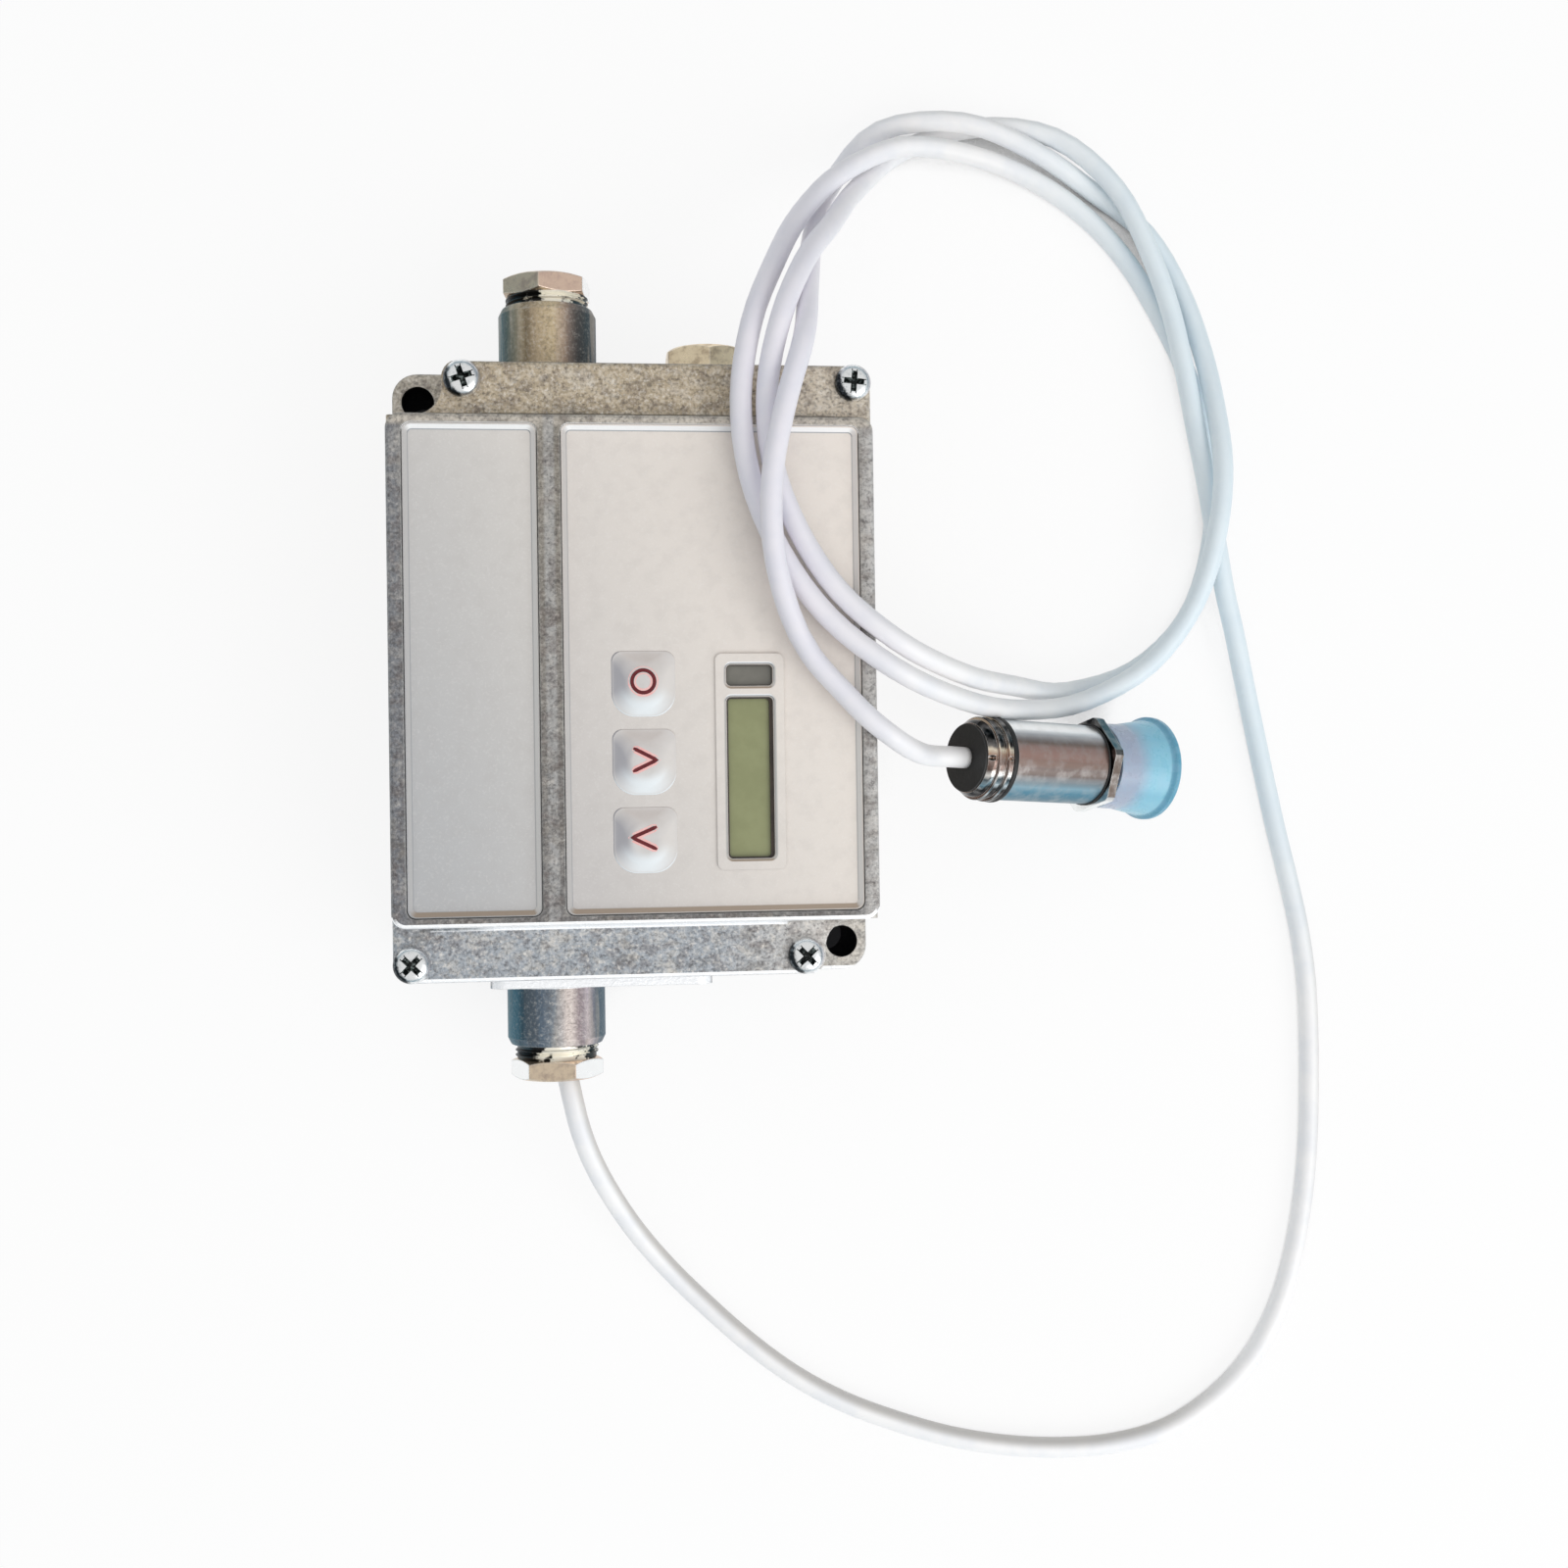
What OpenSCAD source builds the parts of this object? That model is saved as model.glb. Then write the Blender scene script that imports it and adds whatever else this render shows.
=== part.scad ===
// Infrared temperature sensor: a small cast box with a display, keys and two cable glands, and a
// separate sensing head on a long thin cord that lies in a coil beside the box.
// Millimetres. The origin is the centre of the box on the plane it stands on, +Z up, +Y towards
// the supply gland and -Y towards the gland that the head's cord leaves.

/* [Box] */
// Width of the box
box_w = 70; // [68:1:76]
// Length of the cover, from flange end to flange end
box_l = 89; // [87:1:96]
// Height from the base plane to the top of the rim
box_h = 30; // [29.5:0.5:32]
// Height of the seam between base and cover
base_h = 22; // [21.5:0.1:22.4]
// How far each end of the base stands proud of the cover
base_proud = 0.5; // [0.2:0.1:0.8]
// Thickness of the base's floor
floor_t = 2.5; // [2:0.1:3]
// Thickness of the long walls
side_wall = 3.2; // [2.8:0.1:3.5]
// Thickness of the end walls, which hold the screws and glands
end_wall = 10; // [9.5:0.1:10.5]
// Corner radius of the base
base_corner_r = 3.7; // [3:0.1:4]
// Corner radius inside both castings
cavity_corner_r = 2; // [1:0.1:3]
// Width of the gasket
gasket_w = 1.2; // [0.8:0.1:1.4]
// Height of the gasket
gasket_h = 1; // [0.6:0.1:1.4]

/* [Ears] */
// Height of the two lowered wall-mounting ears
ear_h = 16.3; // [14:0.1:18]
// Diameter of the wall-mounting holes
wall_hole_d = 4.8; // [4.2:0.1:5.2]
// Distance from each wall hole's axis to the two outer faces
wall_hole_inset = 3.75; // [3.4:0.05:4]
// Distance from each cover screw's axis to the outer faces
screw_inset = 2.7; // [2.7:0.05:3]
// Distance along the end from a wall hole to the screw beside it
screw_gap = 7.05; // [6.9:0.05:7.6]

/* [Cover] */
// Height of the raised rim above the end flanges
rim_rise = 2; // [1.5:0.1:2.5]
// Length of each end flange
flange_l = 7.9; // [7.7:0.1:8.2]
// Width of the rim beside the plates
rim_w = 2.2; // [1.8:0.1:3]
// Width of the rim beyond the ends of the plates
rim_end_w = 1.35; // [1.2:0.05:2]
// Outer corner radius of the rim
rim_corner_r = 2.1; // [1.5:0.1:3]
// Corner radius of the flange ends
flange_corner_r = 2.8; // [2:0.1:3.5]
// Width of the soft edges of the casting
cast_edge = 0.6; // [0.3:0.1:0.8]
// Radius of the fillet at the foot of the rim
foot_fillet = 0.7; // [0.4:0.1:0.9]
// Thickness of the cover's roof under the plates
roof_t = 2; // [1.6:0.1:2.4]
// Thickness of the two front plates
plate_t = 0.8; // [0.5:0.1:1]
// Depth of the plates' faces below the rim
plate_drop = 1; // [0.6:0.1:1.2]
// Corner radius of the two plates
plate_corner_r = 1.3; // [0.8:0.1:2]
// Width of the plates' raised border
border_w = 0.9; // [0.6:0.1:1.1]
// Width of the label plate
label_w = 19.1; // [17:0.1:20]
// Width of the rib between the two plates
rib_w = 3.3; // [2.4:0.1:4]

/* [Screws] */
// Diameter of the cover screws' heads
screw_head_d = 5.3; // [4.8:0.1:5.4]
// Height of the cover screws' heads
screw_head_h = 1.9; // [1.4:0.1:2.2]
// Diameter of the cover screws' shanks
screw_d = 3; // [2.5:0.1:3]
// Length of the cover screws' shanks
screw_l = 14; // [10:0.5:16]
// Diameter of the board screws' shanks
small_screw_d = 2; // [1.6:0.1:2.5]
// Diameter of the board screws' heads
small_head_d = 3.8; // [3.4:0.1:4.2]
// Height of the board screws' heads
small_head_h = 1.2; // [0.8:0.1:1.4]

/* [Keys and display] */
// Width of a key
key_w = 8.7; // [8:0.1:9]
// Length of a key
key_l = 9; // [8:0.1:9.4]
// Space between two keys
key_space = 2.25; // [2.1:0.05:2.6]
// Place of the keys' column, across the box
key_x = 1.05; // [0.5:0.05:1.5]
// Distance from the panel's lower edge to the lowest key
key_inset = 6.05; // [5.2:0.05:6.6]
// Height of a key's dome above the plate
key_rise = 0.7; // [0.5:0.1:1.2]
// Travel of a key
key_travel = 0.4; // [0.2:0.05:0.6]
// Corner radius of a key
key_corner_r = 1.6; // [1:0.1:2]
// Corner radius of a key's rounded lower edge
key_foot_r = 3.4; // [2.6:0.1:3.8]
// Overlap of a key's lip under the roof
key_lip = 0.7; // [0.4:0.1:0.8]
// Thickness of a key's lip
key_lip_t = 0.6; // [0.4:0.1:0.8]
// Place of the display's left edge
display_x = 13; // [12.6:0.1:13.4]
// Distance from the panel's lower edge to the display's opening
display_inset = 7.65; // [7:0.05:8.2]
// Width of the display's opening
display_w = 6.8; // [6:0.1:7.2]
// Length of the display's opening
display_l = 23.4; // [22:0.1:24]
// Length of the indicator's opening
indicator_l = 3.1; // [2.6:0.1:3.4]
// Bar between the display and the indicator
display_bar = 1.6; // [1.2:0.1:2]
// Width of the raised frame round the openings
bezel_w = 1.6; // [1.2:0.1:1.7]
// Height of the raised frame above the plate
bezel_rise = 0.3; // [0.2:0.1:0.5]
// Corner radius of the display's and the indicator's openings
display_corner_r = 0.7; // [0.5:0.1:0.9]
// Flare of the raised frame's inner edges
bezel_flare = 0.4; // [0.2:0.1:0.5]
// Thickness of the two windows
window_t = 0.8; // [0.5:0.1:1]

/* [Glands] */
// Place of both glands, across the box
gland_x = -12; // [-13:0.5:-11]
// Distance from the seam down to the glands' axis
gland_drop = 7.5; // [7.4:0.1:8]
// Outer diameter of the cast sockets
socket_d = 14.6; // [14.2:0.1:14.8]
// Length of the cast sockets
socket_l = 10.5; // [9.5:0.1:12]
// Diameter of the sockets' thread
gland_d = 12; // [11.6:0.1:12.2]
// Length of the rubber grommets
grommet_l = 6; // [5:0.1:6.5]
// Thickness of the washers
washer_t = 0.8; // [0.5:0.1:1]
// Thread that shows between the socket and the pressure screw's hexagon
nut_gap = 2.2; // [1.5:0.1:3]
// Length of the pressure screw's hexagon
nut_hex_l = 3; // [2.5:0.1:4]
// Width across flats of the pressure screws and the blanking plug
nut_flats = 12; // [11.4:0.1:13]
// Bevel at the outer corners of their hexagons
nut_bevel = 0.5; // [0.3:0.1:0.8]
// Bore of the pressure screws
nut_bore_d = 6.6; // [6.2:0.1:7.4]
// Diameter of the supply cable that the supply gland takes
supply_cable_d = 5; // [4.5:0.1:5.4]
// Place of the blanking plug, across the box
plug_x = 12; // [11:0.5:13]
// Diameter of the blanking plug's thread
plug_d = 9.6; // [9:0.1:10]
// Height of the blanking plug's hexagon
plug_hex_l = 3.4; // [2.5:0.1:4]
// Thickness of the blanking plug's seal
plug_seal_t = 0.8; // [0.5:0.1:1]
// Width of the raised pad on the cord's end of the base
pad_w = 32.7; // [30:0.1:34]
// How far the pad stands out of the base
pad_t = 1.2; // [0.8:0.1:1.5]

/* [Sensing head] */
// Diameter of the head's barrel
barrel_d = 12.4; // [12.2:0.1:12.8]
// Length of the head's barrel between collar and nut
barrel_l = 17.45; // [15:0.05:20]
// Wall of the head's barrel
barrel_wall = 1.2; // [1:0.1:1.4]
// How far the rear collar stands proud of the barrel
collar_proud = 0.5; // [0.4:0.1:0.8]
// Length of the rear collar's straight part
collar_l = 3.2; // [2.5:0.1:4]
// Length of the rear collar's cone
collar_cone_l = 1.3; // [1:0.1:1.6]
// Diameter of the black plug behind the collar
back_plug_d = 10.6; // [9.5:0.1:11]
// How far the black plug stands out
back_plug_l = 0.35; // [0.2:0.05:0.6]
// Thickness of the sealing ring between collar and barrel
o_ring_t = 0.4; // [0.3:0.05:0.6]
// Depth of the head's thread under the barrel's surface
thread_step = 0.3; // [0.2:0.05:0.4]
// Length of the head's thread in front of the barrel
thread_l = 5.35; // [5:0.05:6]
// Thickness of the black washer under the nut
lock_ring_t = 0.3; // [0.2:0.05:0.6]
// Thickness of the nut
head_nut_t = 1.5; // [1.2:0.1:1.9]
// Wall of the nut at its flats
head_nut_wall = 0.85; // [0.6:0.05:1.1]
// Length of the protective cap
cap_l = 10.5; // [9.5:0.1:12]
// Wall of the protective cap
cap_wall = 0.7; // [0.5:0.05:0.9]
// Diameter of the cap's flared rim
cap_rim_d = 16.4; // [15:0.1:17]
// Thickness of the cap's floor, between its open dish and the head
cap_web = 0.5; // [0.4:0.1:0.8]
// Gap between the cap's floor and the head's nose
nose_gap = 0.7; // [0.4:0.1:1]
// Gap between the cap and the nut
nut_clear = 0.6; // [0.3:0.1:0.8]
// How far the head leans nose down, in degrees
head_pitch = 23.2; // [23:0.1:23.4]
// How far the head turns from the +X direction, in degrees
head_yaw = -3.1; // [-3.3:0.1:-2.9]

/* [Cord] */
// Diameter of the cord
cord_d = 3.2; // [2.8:0.1:3.4]

/* [Hidden] */

// Fits and overruns
over = 1;
slip = 0.05;
fit_gap = 0.1;
key_gap = 0.15;
hull_sides = 32;
round_sides = 72;

// Levels of the castings, from the base plane up
flange_z = box_h - rim_rise;
plate_z = box_h - plate_drop;
recess_z = plate_z - plate_t;
ceiling_z = recess_z - roof_t;
half_w = box_w / 2;
half_l = box_l / 2;
base_end = half_l + base_proud;
rim_end = half_l - flange_l;
cavity_x = half_w - side_wall;
cavity_y = half_l - end_wall;

// Outline of a pan head and of its cross slot, as shares of its diameter and height
pan_shares = [[0, 0], [0.5, 0], [0.5, 0.4], [0.46, 0.66], [0.37, 0.87], [0.24, 0.98], [0, 1]];
slot_width_share = 0.56;
slot_depth_share = 0.6;
slot_blade_share = 0.28;

// Wall holes, and the cover screws beside and across from them
hole_x = half_w - wall_hole_inset;
hole_y = half_l - wall_hole_inset;
corner_screw = [half_w - screw_inset, half_l - screw_inset];
ear_screw = [screw_gap - hole_x, half_l - screw_inset];
ear_hole = [-hole_x, hole_y];
seat_r = hole_y - rim_end;
ear_aim = atan2(ear_screw.y - ear_hole.y, ear_screw.x - ear_hole.x);
lobe_r = norm(ear_screw - ear_hole) - seat_r;
arc_step = 15;

// Plates, with a border that slopes up to a crest beside the rim
border_rise_share = 0.65;
border_crest_share = 0.2;
border_corner_r = 0.5;
label_x0 = rim_w - half_w;
label_x1 = label_x0 + label_w;
panel_x0 = label_x1 + rib_w;
panel_x1 = half_w - rim_w - fit_gap;
plate_y = rim_end - rim_end_w - fit_gap;

border_rise = plate_drop * border_rise_share;
border_crest = border_w * border_crest_share;
border_slab = slip;

// Keys, display and the board behind them
key_count = 3;
key_pitch = key_l + key_space;
key_y = key_inset + key_l / 2 - plate_y + (key_count - 1) * key_pitch;
key_dome_share = 0.6;
display_y = display_inset - plate_y;
key_bottom = ceiling_z - slip - key_lip_t;
switch_top = key_bottom - key_travel - slip;
switch_h = 4;
switch_w = 6;
actuator_d = 3.4;
actuator_h = 0.8;
board_t = 1.6;
upper_z = switch_top - switch_h;
indicator_y = display_y + display_l + display_bar;
bezel_x0 = display_x - bezel_w;
bezel_x1 = display_x + display_w + bezel_w;
bezel_y0 = display_y - bezel_w;
bezel_y1 = indicator_y + indicator_l + bezel_w;
bezel_corner_r = 1;
window_z = recess_z - window_t;
lcd_t = 1.1;
lcd_z = window_z - lcd_t;
holder_share = 1.3;
upper_edge = 2.2;
upper_gap_x = 1.3;
upper_gap_y = 1.5;
upper_x0 = key_x - key_w / 2 - upper_edge;
upper_x1 = cavity_x - upper_gap_x;
upper_y = cavity_y - upper_gap_y;
spacer_d = 4;
spacer_inset_x = 3;
spacer_inset_y = 2.5;
spacer_offset = 3.1;
spacer_x = [key_x + key_w / 2 + spacer_offset, upper_x1 - spacer_inset_x];
spacer_y = upper_y - spacer_inset_y;
led_w = 3;
led_h = 4.4;

// Main board on its bosses, a set distance under the glands' axis
gland_z = base_h - gland_drop;
main_drop = 4.9;
main_gap_x = 2.8;
main_gap_y = 2;
main_x = cavity_x - main_gap_x;
main_y = cavity_y - main_gap_y;
main_top = gland_z - main_drop;
main_z = main_top - board_t;
boss_h = main_z - floor_t;
boss_d = 5.4;
boss_inset_x = 4;
boss_inset_y = 4.5;
boss_x = main_x - boss_inset_x;
boss_y = main_y - boss_inset_y;
tap_share = 0.9;
room = upper_z - board_t - main_top;

// Terminal blocks, header, clamp and wires on the main board
terminal_clear = 2.3;
terminal_pitch = 3.8;
terminal_count = 5;
terminal_edge = 0.5;
terminal_w = terminal_count * terminal_pitch + 2 * terminal_edge;
terminal_l = 7;
terminal_h = room - terminal_clear;
terminal_screw_d = 2.6;
terminal_screw_drop = 0.4;
header_w = 2.6;
header_l = 14;
header_inset = 5;
header_x = main_x - header_inset;
clamp_w = 9;
clamp_l = 4;
clamp_inset = 3.5;
clamp_y = clamp_inset - main_y;
clamp_roof = 1.4;
wire_d = 0.8;
wire_count = 4;
wire_drop = 2.2;
wire_run = 2.5;
wire_shares = [0, 0.12, 0.35, 0.65, 0.88, 1];
wire_end_share = 0.12;
cord_end_y = clamp_y + clamp_l;
head_terminal_y = cord_end_y + wire_run + terminal_l / 2;
supply_terminal_inset = 11.5;
supply_terminal_y = main_y - supply_terminal_inset;

// Glands, measured outwards from the ends of the cover
cord_r = cord_d / 2;
thread_r = gland_d / 2;
socket_bore_r = thread_r + slip;
socket_chamfer = 1;
inner_hole_d = 7;
nut_start = 2 * washer_t + grommet_l + fit_gap;
hex_start = socket_l + nut_gap;
nut_end = hex_start + nut_hex_l;
supply_nut_turn = 12;
plug_turn = 30;
plug_depth = 7;
pad_h = 17;
pad_corner_r = 2.4;
pad_x = -5.25;

// Sensing head, measured back from the cap's rim along its axis
rim_r = cap_rim_d / 2;
head_rim = [82.54, -14.92, rim_r * cos(head_pitch)];
head_front = [cos(head_yaw) * cos(head_pitch), sin(head_yaw) * cos(head_pitch), -sin(head_pitch)];
nut_front = cap_l + nut_clear;
ring_front = nut_front + head_nut_t + slip;
barrel_front = ring_front + lock_ring_t;
nose_front = barrel_front - thread_l;
barrel_back = barrel_front + barrel_l;
collar_front = barrel_back + o_ring_t;
collar_back = collar_front + collar_l;
cone_back = collar_back + collar_cone_l;
plug_back = cone_back + back_plug_l;
web_back = nose_front - nose_gap;
cap_dish = web_back - cap_web;
barrel_r = barrel_d / 2;
nose_r = barrel_r - thread_step;
bore_r = barrel_r - barrel_wall;
neck_r = barrel_r - barrel_wall / 2;
collar_r = barrel_r + collar_proud;
cap_bore_r = nose_r + slip;
cap_root_r = cap_bore_r + cap_wall;
cap_flare_share = 0.62;
cap_waist_share = 0.15;
nut_corner_share = 0.56;
head_nut_flats = 2 * (nose_r + head_nut_wall);
head_nut_turn = 15;
lens_seat = 0.9;
lens_inset = 1.5;
lens_r = bore_r - lens_inset;
lens_t = 1.2;
lens_ring_t = 0.8;
detector_gap = 0.4;
detector_rim_r = bore_r - detector_gap;
detector_step = 0.5;
detector_r = detector_rim_r - detector_step;
detector_h = 4;
detector_rim_t = 0.6;
detector_seat = nose_front + lens_ring_t + lens_t + lens_seat;
collar_neck_l = 3;
groove_s = (collar_front + collar_back) / 2;
groove_w = 0.5;
groove_depth = 0.25;
pin_d = 0.8;
pin_inset = 0.8;
collar_lip = 1;
plug_seat = barrel_back + collar_neck_l + fit_gap;

function head_at(s) = head_rim - s * head_front;

// The cord's lay. The lead and tail are the cord's own points, chosen by hand.
cord_lift = 0.2;
rest_z = cord_r + cord_lift;
nut_face = [gland_x, -half_l - nut_end, gland_z];
lead_route = [
    [-10.4, -68, 13.9], [-7.4, -73, 11.8], [-3.8, -79, 8.8], [0.4, -86, 5.2], [5.6, -93, 2.7],
    [11.5, -99.4, 1.8], [18, -105.6, 1.8], [25, -111, 1.8], [32.5, -115.4, 1.8],
    [41, -119, 1.8], [50, -122, 1.8], [59, -123.9, 1.8], [68, -124.8, 1.8], [77, -124.6, 1.8],
    [86, -122.6, 1.8], [94, -118, 1.8], [100.4, -111.8, 1.8], [105, -104, 1.8],
    [108, -95, 1.8], [109.8, -86, 1.8], [110.8, -77, 1.8], [111.2, -68, 1.8],
    [111.3, -59, 1.8], [111, -50, 1.8], [110, -42, 1.8], [108.2, -33.4, 1.8],
    [106.2, -25, 1.8], [104.5, -17, 1.8], [102.8, -9, 2], [100.9, -1, 2.8],
    [98.9, 7, 4], [97, 14, 5]
];
tail_route = [[29.6, -3, 31.8], [33.6, -6.6, 31.8], [37.2, -9.2, 30.9], [40.6, -11.3, 27.4]];

// The coil lies half on the box and half beside it. Every coil_step degrees of its turns it has
// a radius and a height over what it lies on; the first and last rows only steer its ends.
coil_centre = [58, 41];
coil_start = -30;
coil_step = 20;
coil_lay = [
    [60, 3], [43.8, 3.8], [35.9, 3.8], [33.7, 3.8], [35.4, 3.8], [39.8, 4.2], [47.2, 2.7],
    [48.6, 0], [45.2, 0], [38.9, 3], [37.5, 5], [38, 1.8], [39.4, 0], [40.4, 0], [41.8, 0],
    [42.6, 0], [42.8, 0], [45.6, 0],
    [46.8, 0], [43.2, 0], [39, 0], [35.9, 0], [35, 0], [36.8, 0], [39.8, 0], [42.6, 2.8],
    [45.4, 5.2], [43.6, 5.2], [41.4, 3], [41.8, 0], [43.1, 0], [44.2, 0], [45.5, 0],
    [46.4, 0], [46.7, 2], [47.3, 4],
    [46.2, 4.2], [41.2, 7.6], [38.2, 7.2], [37.4, 4], [39.6, 0.9], [42.4, 0], [43.4, 0.6],
    [47.2, 4.2], [49.8, 1.5], [42.4, 0], [36.2, 0], [34.1, 2.3], [37.8, 4], [44.8, 4],
    [51.3, 0.3], [54.4, 0]
];
rings_per_loop = 24;
coil_sides = 6;
cord_sides = 8;
coil_turn = coil_step * (len(coil_lay) - 3);
coil_rings = floor(coil_turn * rings_per_loop / 360);
slope_run = 44;

// Height of the cord's rest: on the rim over the box, sloping down beside it to the table
function beside(v, half) = max(abs(v) - half, 0);
function ramp(t) = 1 - t * t * (3 - 2 * t);
function rest_height(p) =
    rest_z + box_h * ramp(min(norm([beside(p.x, half_w), beside(p.y, base_end)]) / slope_run, 1));
function smooth(a, b, c, d, t) =
    (2 * b + (c - a) * t + (2 * a - 5 * b + 4 * c - d) * t * t + (3 * b - a - 3 * c + d) * t * t * t) / 2;
function lay_at(k, t) =
    smooth(coil_lay[k - 1], coil_lay[k], coil_lay[k + 1], coil_lay[min(k + 2, len(coil_lay) - 1)], t);
function coil_point(turn) = let (
    k = min(floor(turn / coil_step), len(coil_lay) - 4),
    lay = lay_at(k + 1, turn / coil_step - k),
    angle = coil_start + turn,
    flat = coil_centre + lay[0] * [cos(angle), sin(angle)]
) [flat.x, flat.y, rest_height(flat) + max(lay[1], 0)];

coil_points = [for (i = [0:coil_rings]) coil_point(coil_turn * i / coil_rings)];
cord_route = concat(
    [nut_face, nut_face - [0, cord_d, 0]], lead_route, coil_points, tail_route,
    [for (k = [2:-1:0]) head_at(plug_back + k * cord_d)]
);
coil_first = len(lead_route) + 2;
coil_last = coil_first + coil_rings;
cord_last = len(cord_route) - 1;

// Least distance between two stretches of the coil that are not neighbours along it
skip = 6;
coil_gap = min([for (i = [0:coil_rings - skip]) for (j = [i + skip:coil_rings])
    norm(coil_points[i] - coil_points[j])]) - cord_d;
cord_length = [for (i = 0, total = 0; i < cord_last;
    total = total + norm(cord_route[i + 1] - cord_route[i]), i = i + 1) total];
echo(coil_gap = coil_gap, cord_length = cord_length[len(cord_length) - 1]);

// Sweeps a round section along the points of a route from one index to another
function unit(v) = v / norm(v);
function heading(p, i) = unit(p[min(i + 1, len(p) - 1)] - p[max(i - 1, 0)]);
function ring(p, i, r, sides) = let (
    along = heading(p, i),
    side = unit(cross(along, [0, 0, 1])),
    up = cross(side, along)
) [for (k = [0:sides - 1]) p[i] + r * (cos(k * 360 / sides) * side + sin(k * 360 / sides) * up)];

module swept(p, first, last, r, sides) {
    n = sides;
    rings = last - first;
    points = [for (i = [first:last]) each ring(p, i, r, n)];
    walls = [for (i = [0:rings - 1]) for (k = [0:n - 1]) let (
        a = i * n + k,
        b = i * n + (k + 1) % n
    ) each [[a, b, a + n], [b, b + n, a + n]]];
    start_cap = [for (k = [1:n - 2]) [0, k + 1, k]];
    end_cap = [for (k = [1:n - 2]) [rings * n, rings * n + k, rings * n + k + 1]];
    polyhedron(points, concat(walls, start_cap, end_cap));
}

// A rounded rectangle from corner to corner
module rounded_plate(x0, y0, x1, y1, r, h) {
    linear_extrude(h) {
        translate([x0 + r, y0]) square([x1 - x0 - 2 * r, y1 - y0]);
        translate([x0, y0 + r]) square([x1 - x0, y1 - y0 - 2 * r]);
        for (x = [x0 + r, x1 - r], y = [y0 + r, y1 - r])
            translate([x, y]) circle(r, $fn = hull_sides);
    }
}

// A round post with a softened top edge
module soft_post(r, z0, z1, edge) {
    h = z1 - z0;
    lean = edge * (1 - cos(45));
    translate([0, 0, z0]) rotate_extrude($fn = hull_sides)
        polygon([[0, 0], [r, 0], [r, h - edge], [r - lean, h - lean], [r - edge, h], [0, h]]);
}

// A block with round corners and a softened top edge
module soft_block(half_x, half_y, r, z0, z1, edge) {
    hull() for (x = [-1, 1], y = [-1, 1])
        translate([x * (half_x - r), y * (half_y - r), 0]) soft_post(r, z0, z1, edge);
}

// Points along an arc
function arc(centre, r, from, to) = let (steps = ceil(abs(to - from) / arc_step))
    [for (k = [0:steps]) let (a = from + (to - from) * k / steps) centre + r * [cos(a), sin(a)]];

// The clear corner over a wall ear, concentric with its hole and with the cover screw beside it
module ear_notch(z0, z1) {
    far = [-half_w - over, base_end + over];
    outline = concat(
        [[far.x, rim_end]],
        arc(ear_hole, seat_r, -90, ear_aim),
        arc(ear_screw, lobe_r, ear_aim + 180, 90),
        [[ear_screw.x, far.y], far]
    );
    for (turn = [0, 180]) rotate(turn) translate([0, 0, z0])
        linear_extrude(z1 - z0) polygon(outline);
}

// Puts a child at each of the four cover screws
module at_cover_screws() {
    for (turn = [0, 180], place = [corner_screw, ear_screw])
        rotate(turn) translate([place.x, place.y, 0]) children();
}

// Stands a child on the end of the box, its +Z pointing out: side 1 is +Y, side -1 is -Y
module on_end(side, x) {
    translate([x, side * half_l, gland_z]) rotate([-90 * side, 0, 0]) children();
}

// A ring or tube from level z0 to z1
module tube(z0, z1, r_out, r_in) {
    translate([0, 0, z0]) difference() {
        cylinder(h = z1 - z0, r = r_out, $fn = round_sides);
        translate([0, 0, -over]) cylinder(h = z1 - z0 + 2 * over, r = r_in, $fn = round_sides);
    }
}

// A round bar or bore from level z0 to z1
module drill(z0, z1, r) {
    translate([0, 0, z0]) cylinder(h = z1 - z0, r = r, $fn = round_sides);
}

// A hexagon with its outer corners turned off
module hexagon(z0, z1, flats, bevel) {
    r = flats / 2 / cos(30);
    intersection() {
        translate([0, 0, z0]) cylinder(h = z1 - z0, r = r, $fn = 6);
        translate([0, 0, z0]) rotate_extrude($fn = round_sides)
            polygon([[0, 0], [r + over, 0], [r + over, z1 - z0 - bevel - over],
                [flats / 2 - bevel / 2, z1 - z0], [0, z1 - z0]]);
    }
}

// The cross cut into a screw's head
module cross_slot(width, depth, top) {
    blade = width * slot_blade_share;
    for (turn = [0, 90]) rotate(turn)
        translate([-width / 2, -blade / 2, top - depth]) cube([width, blade, depth + over]);
}

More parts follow.
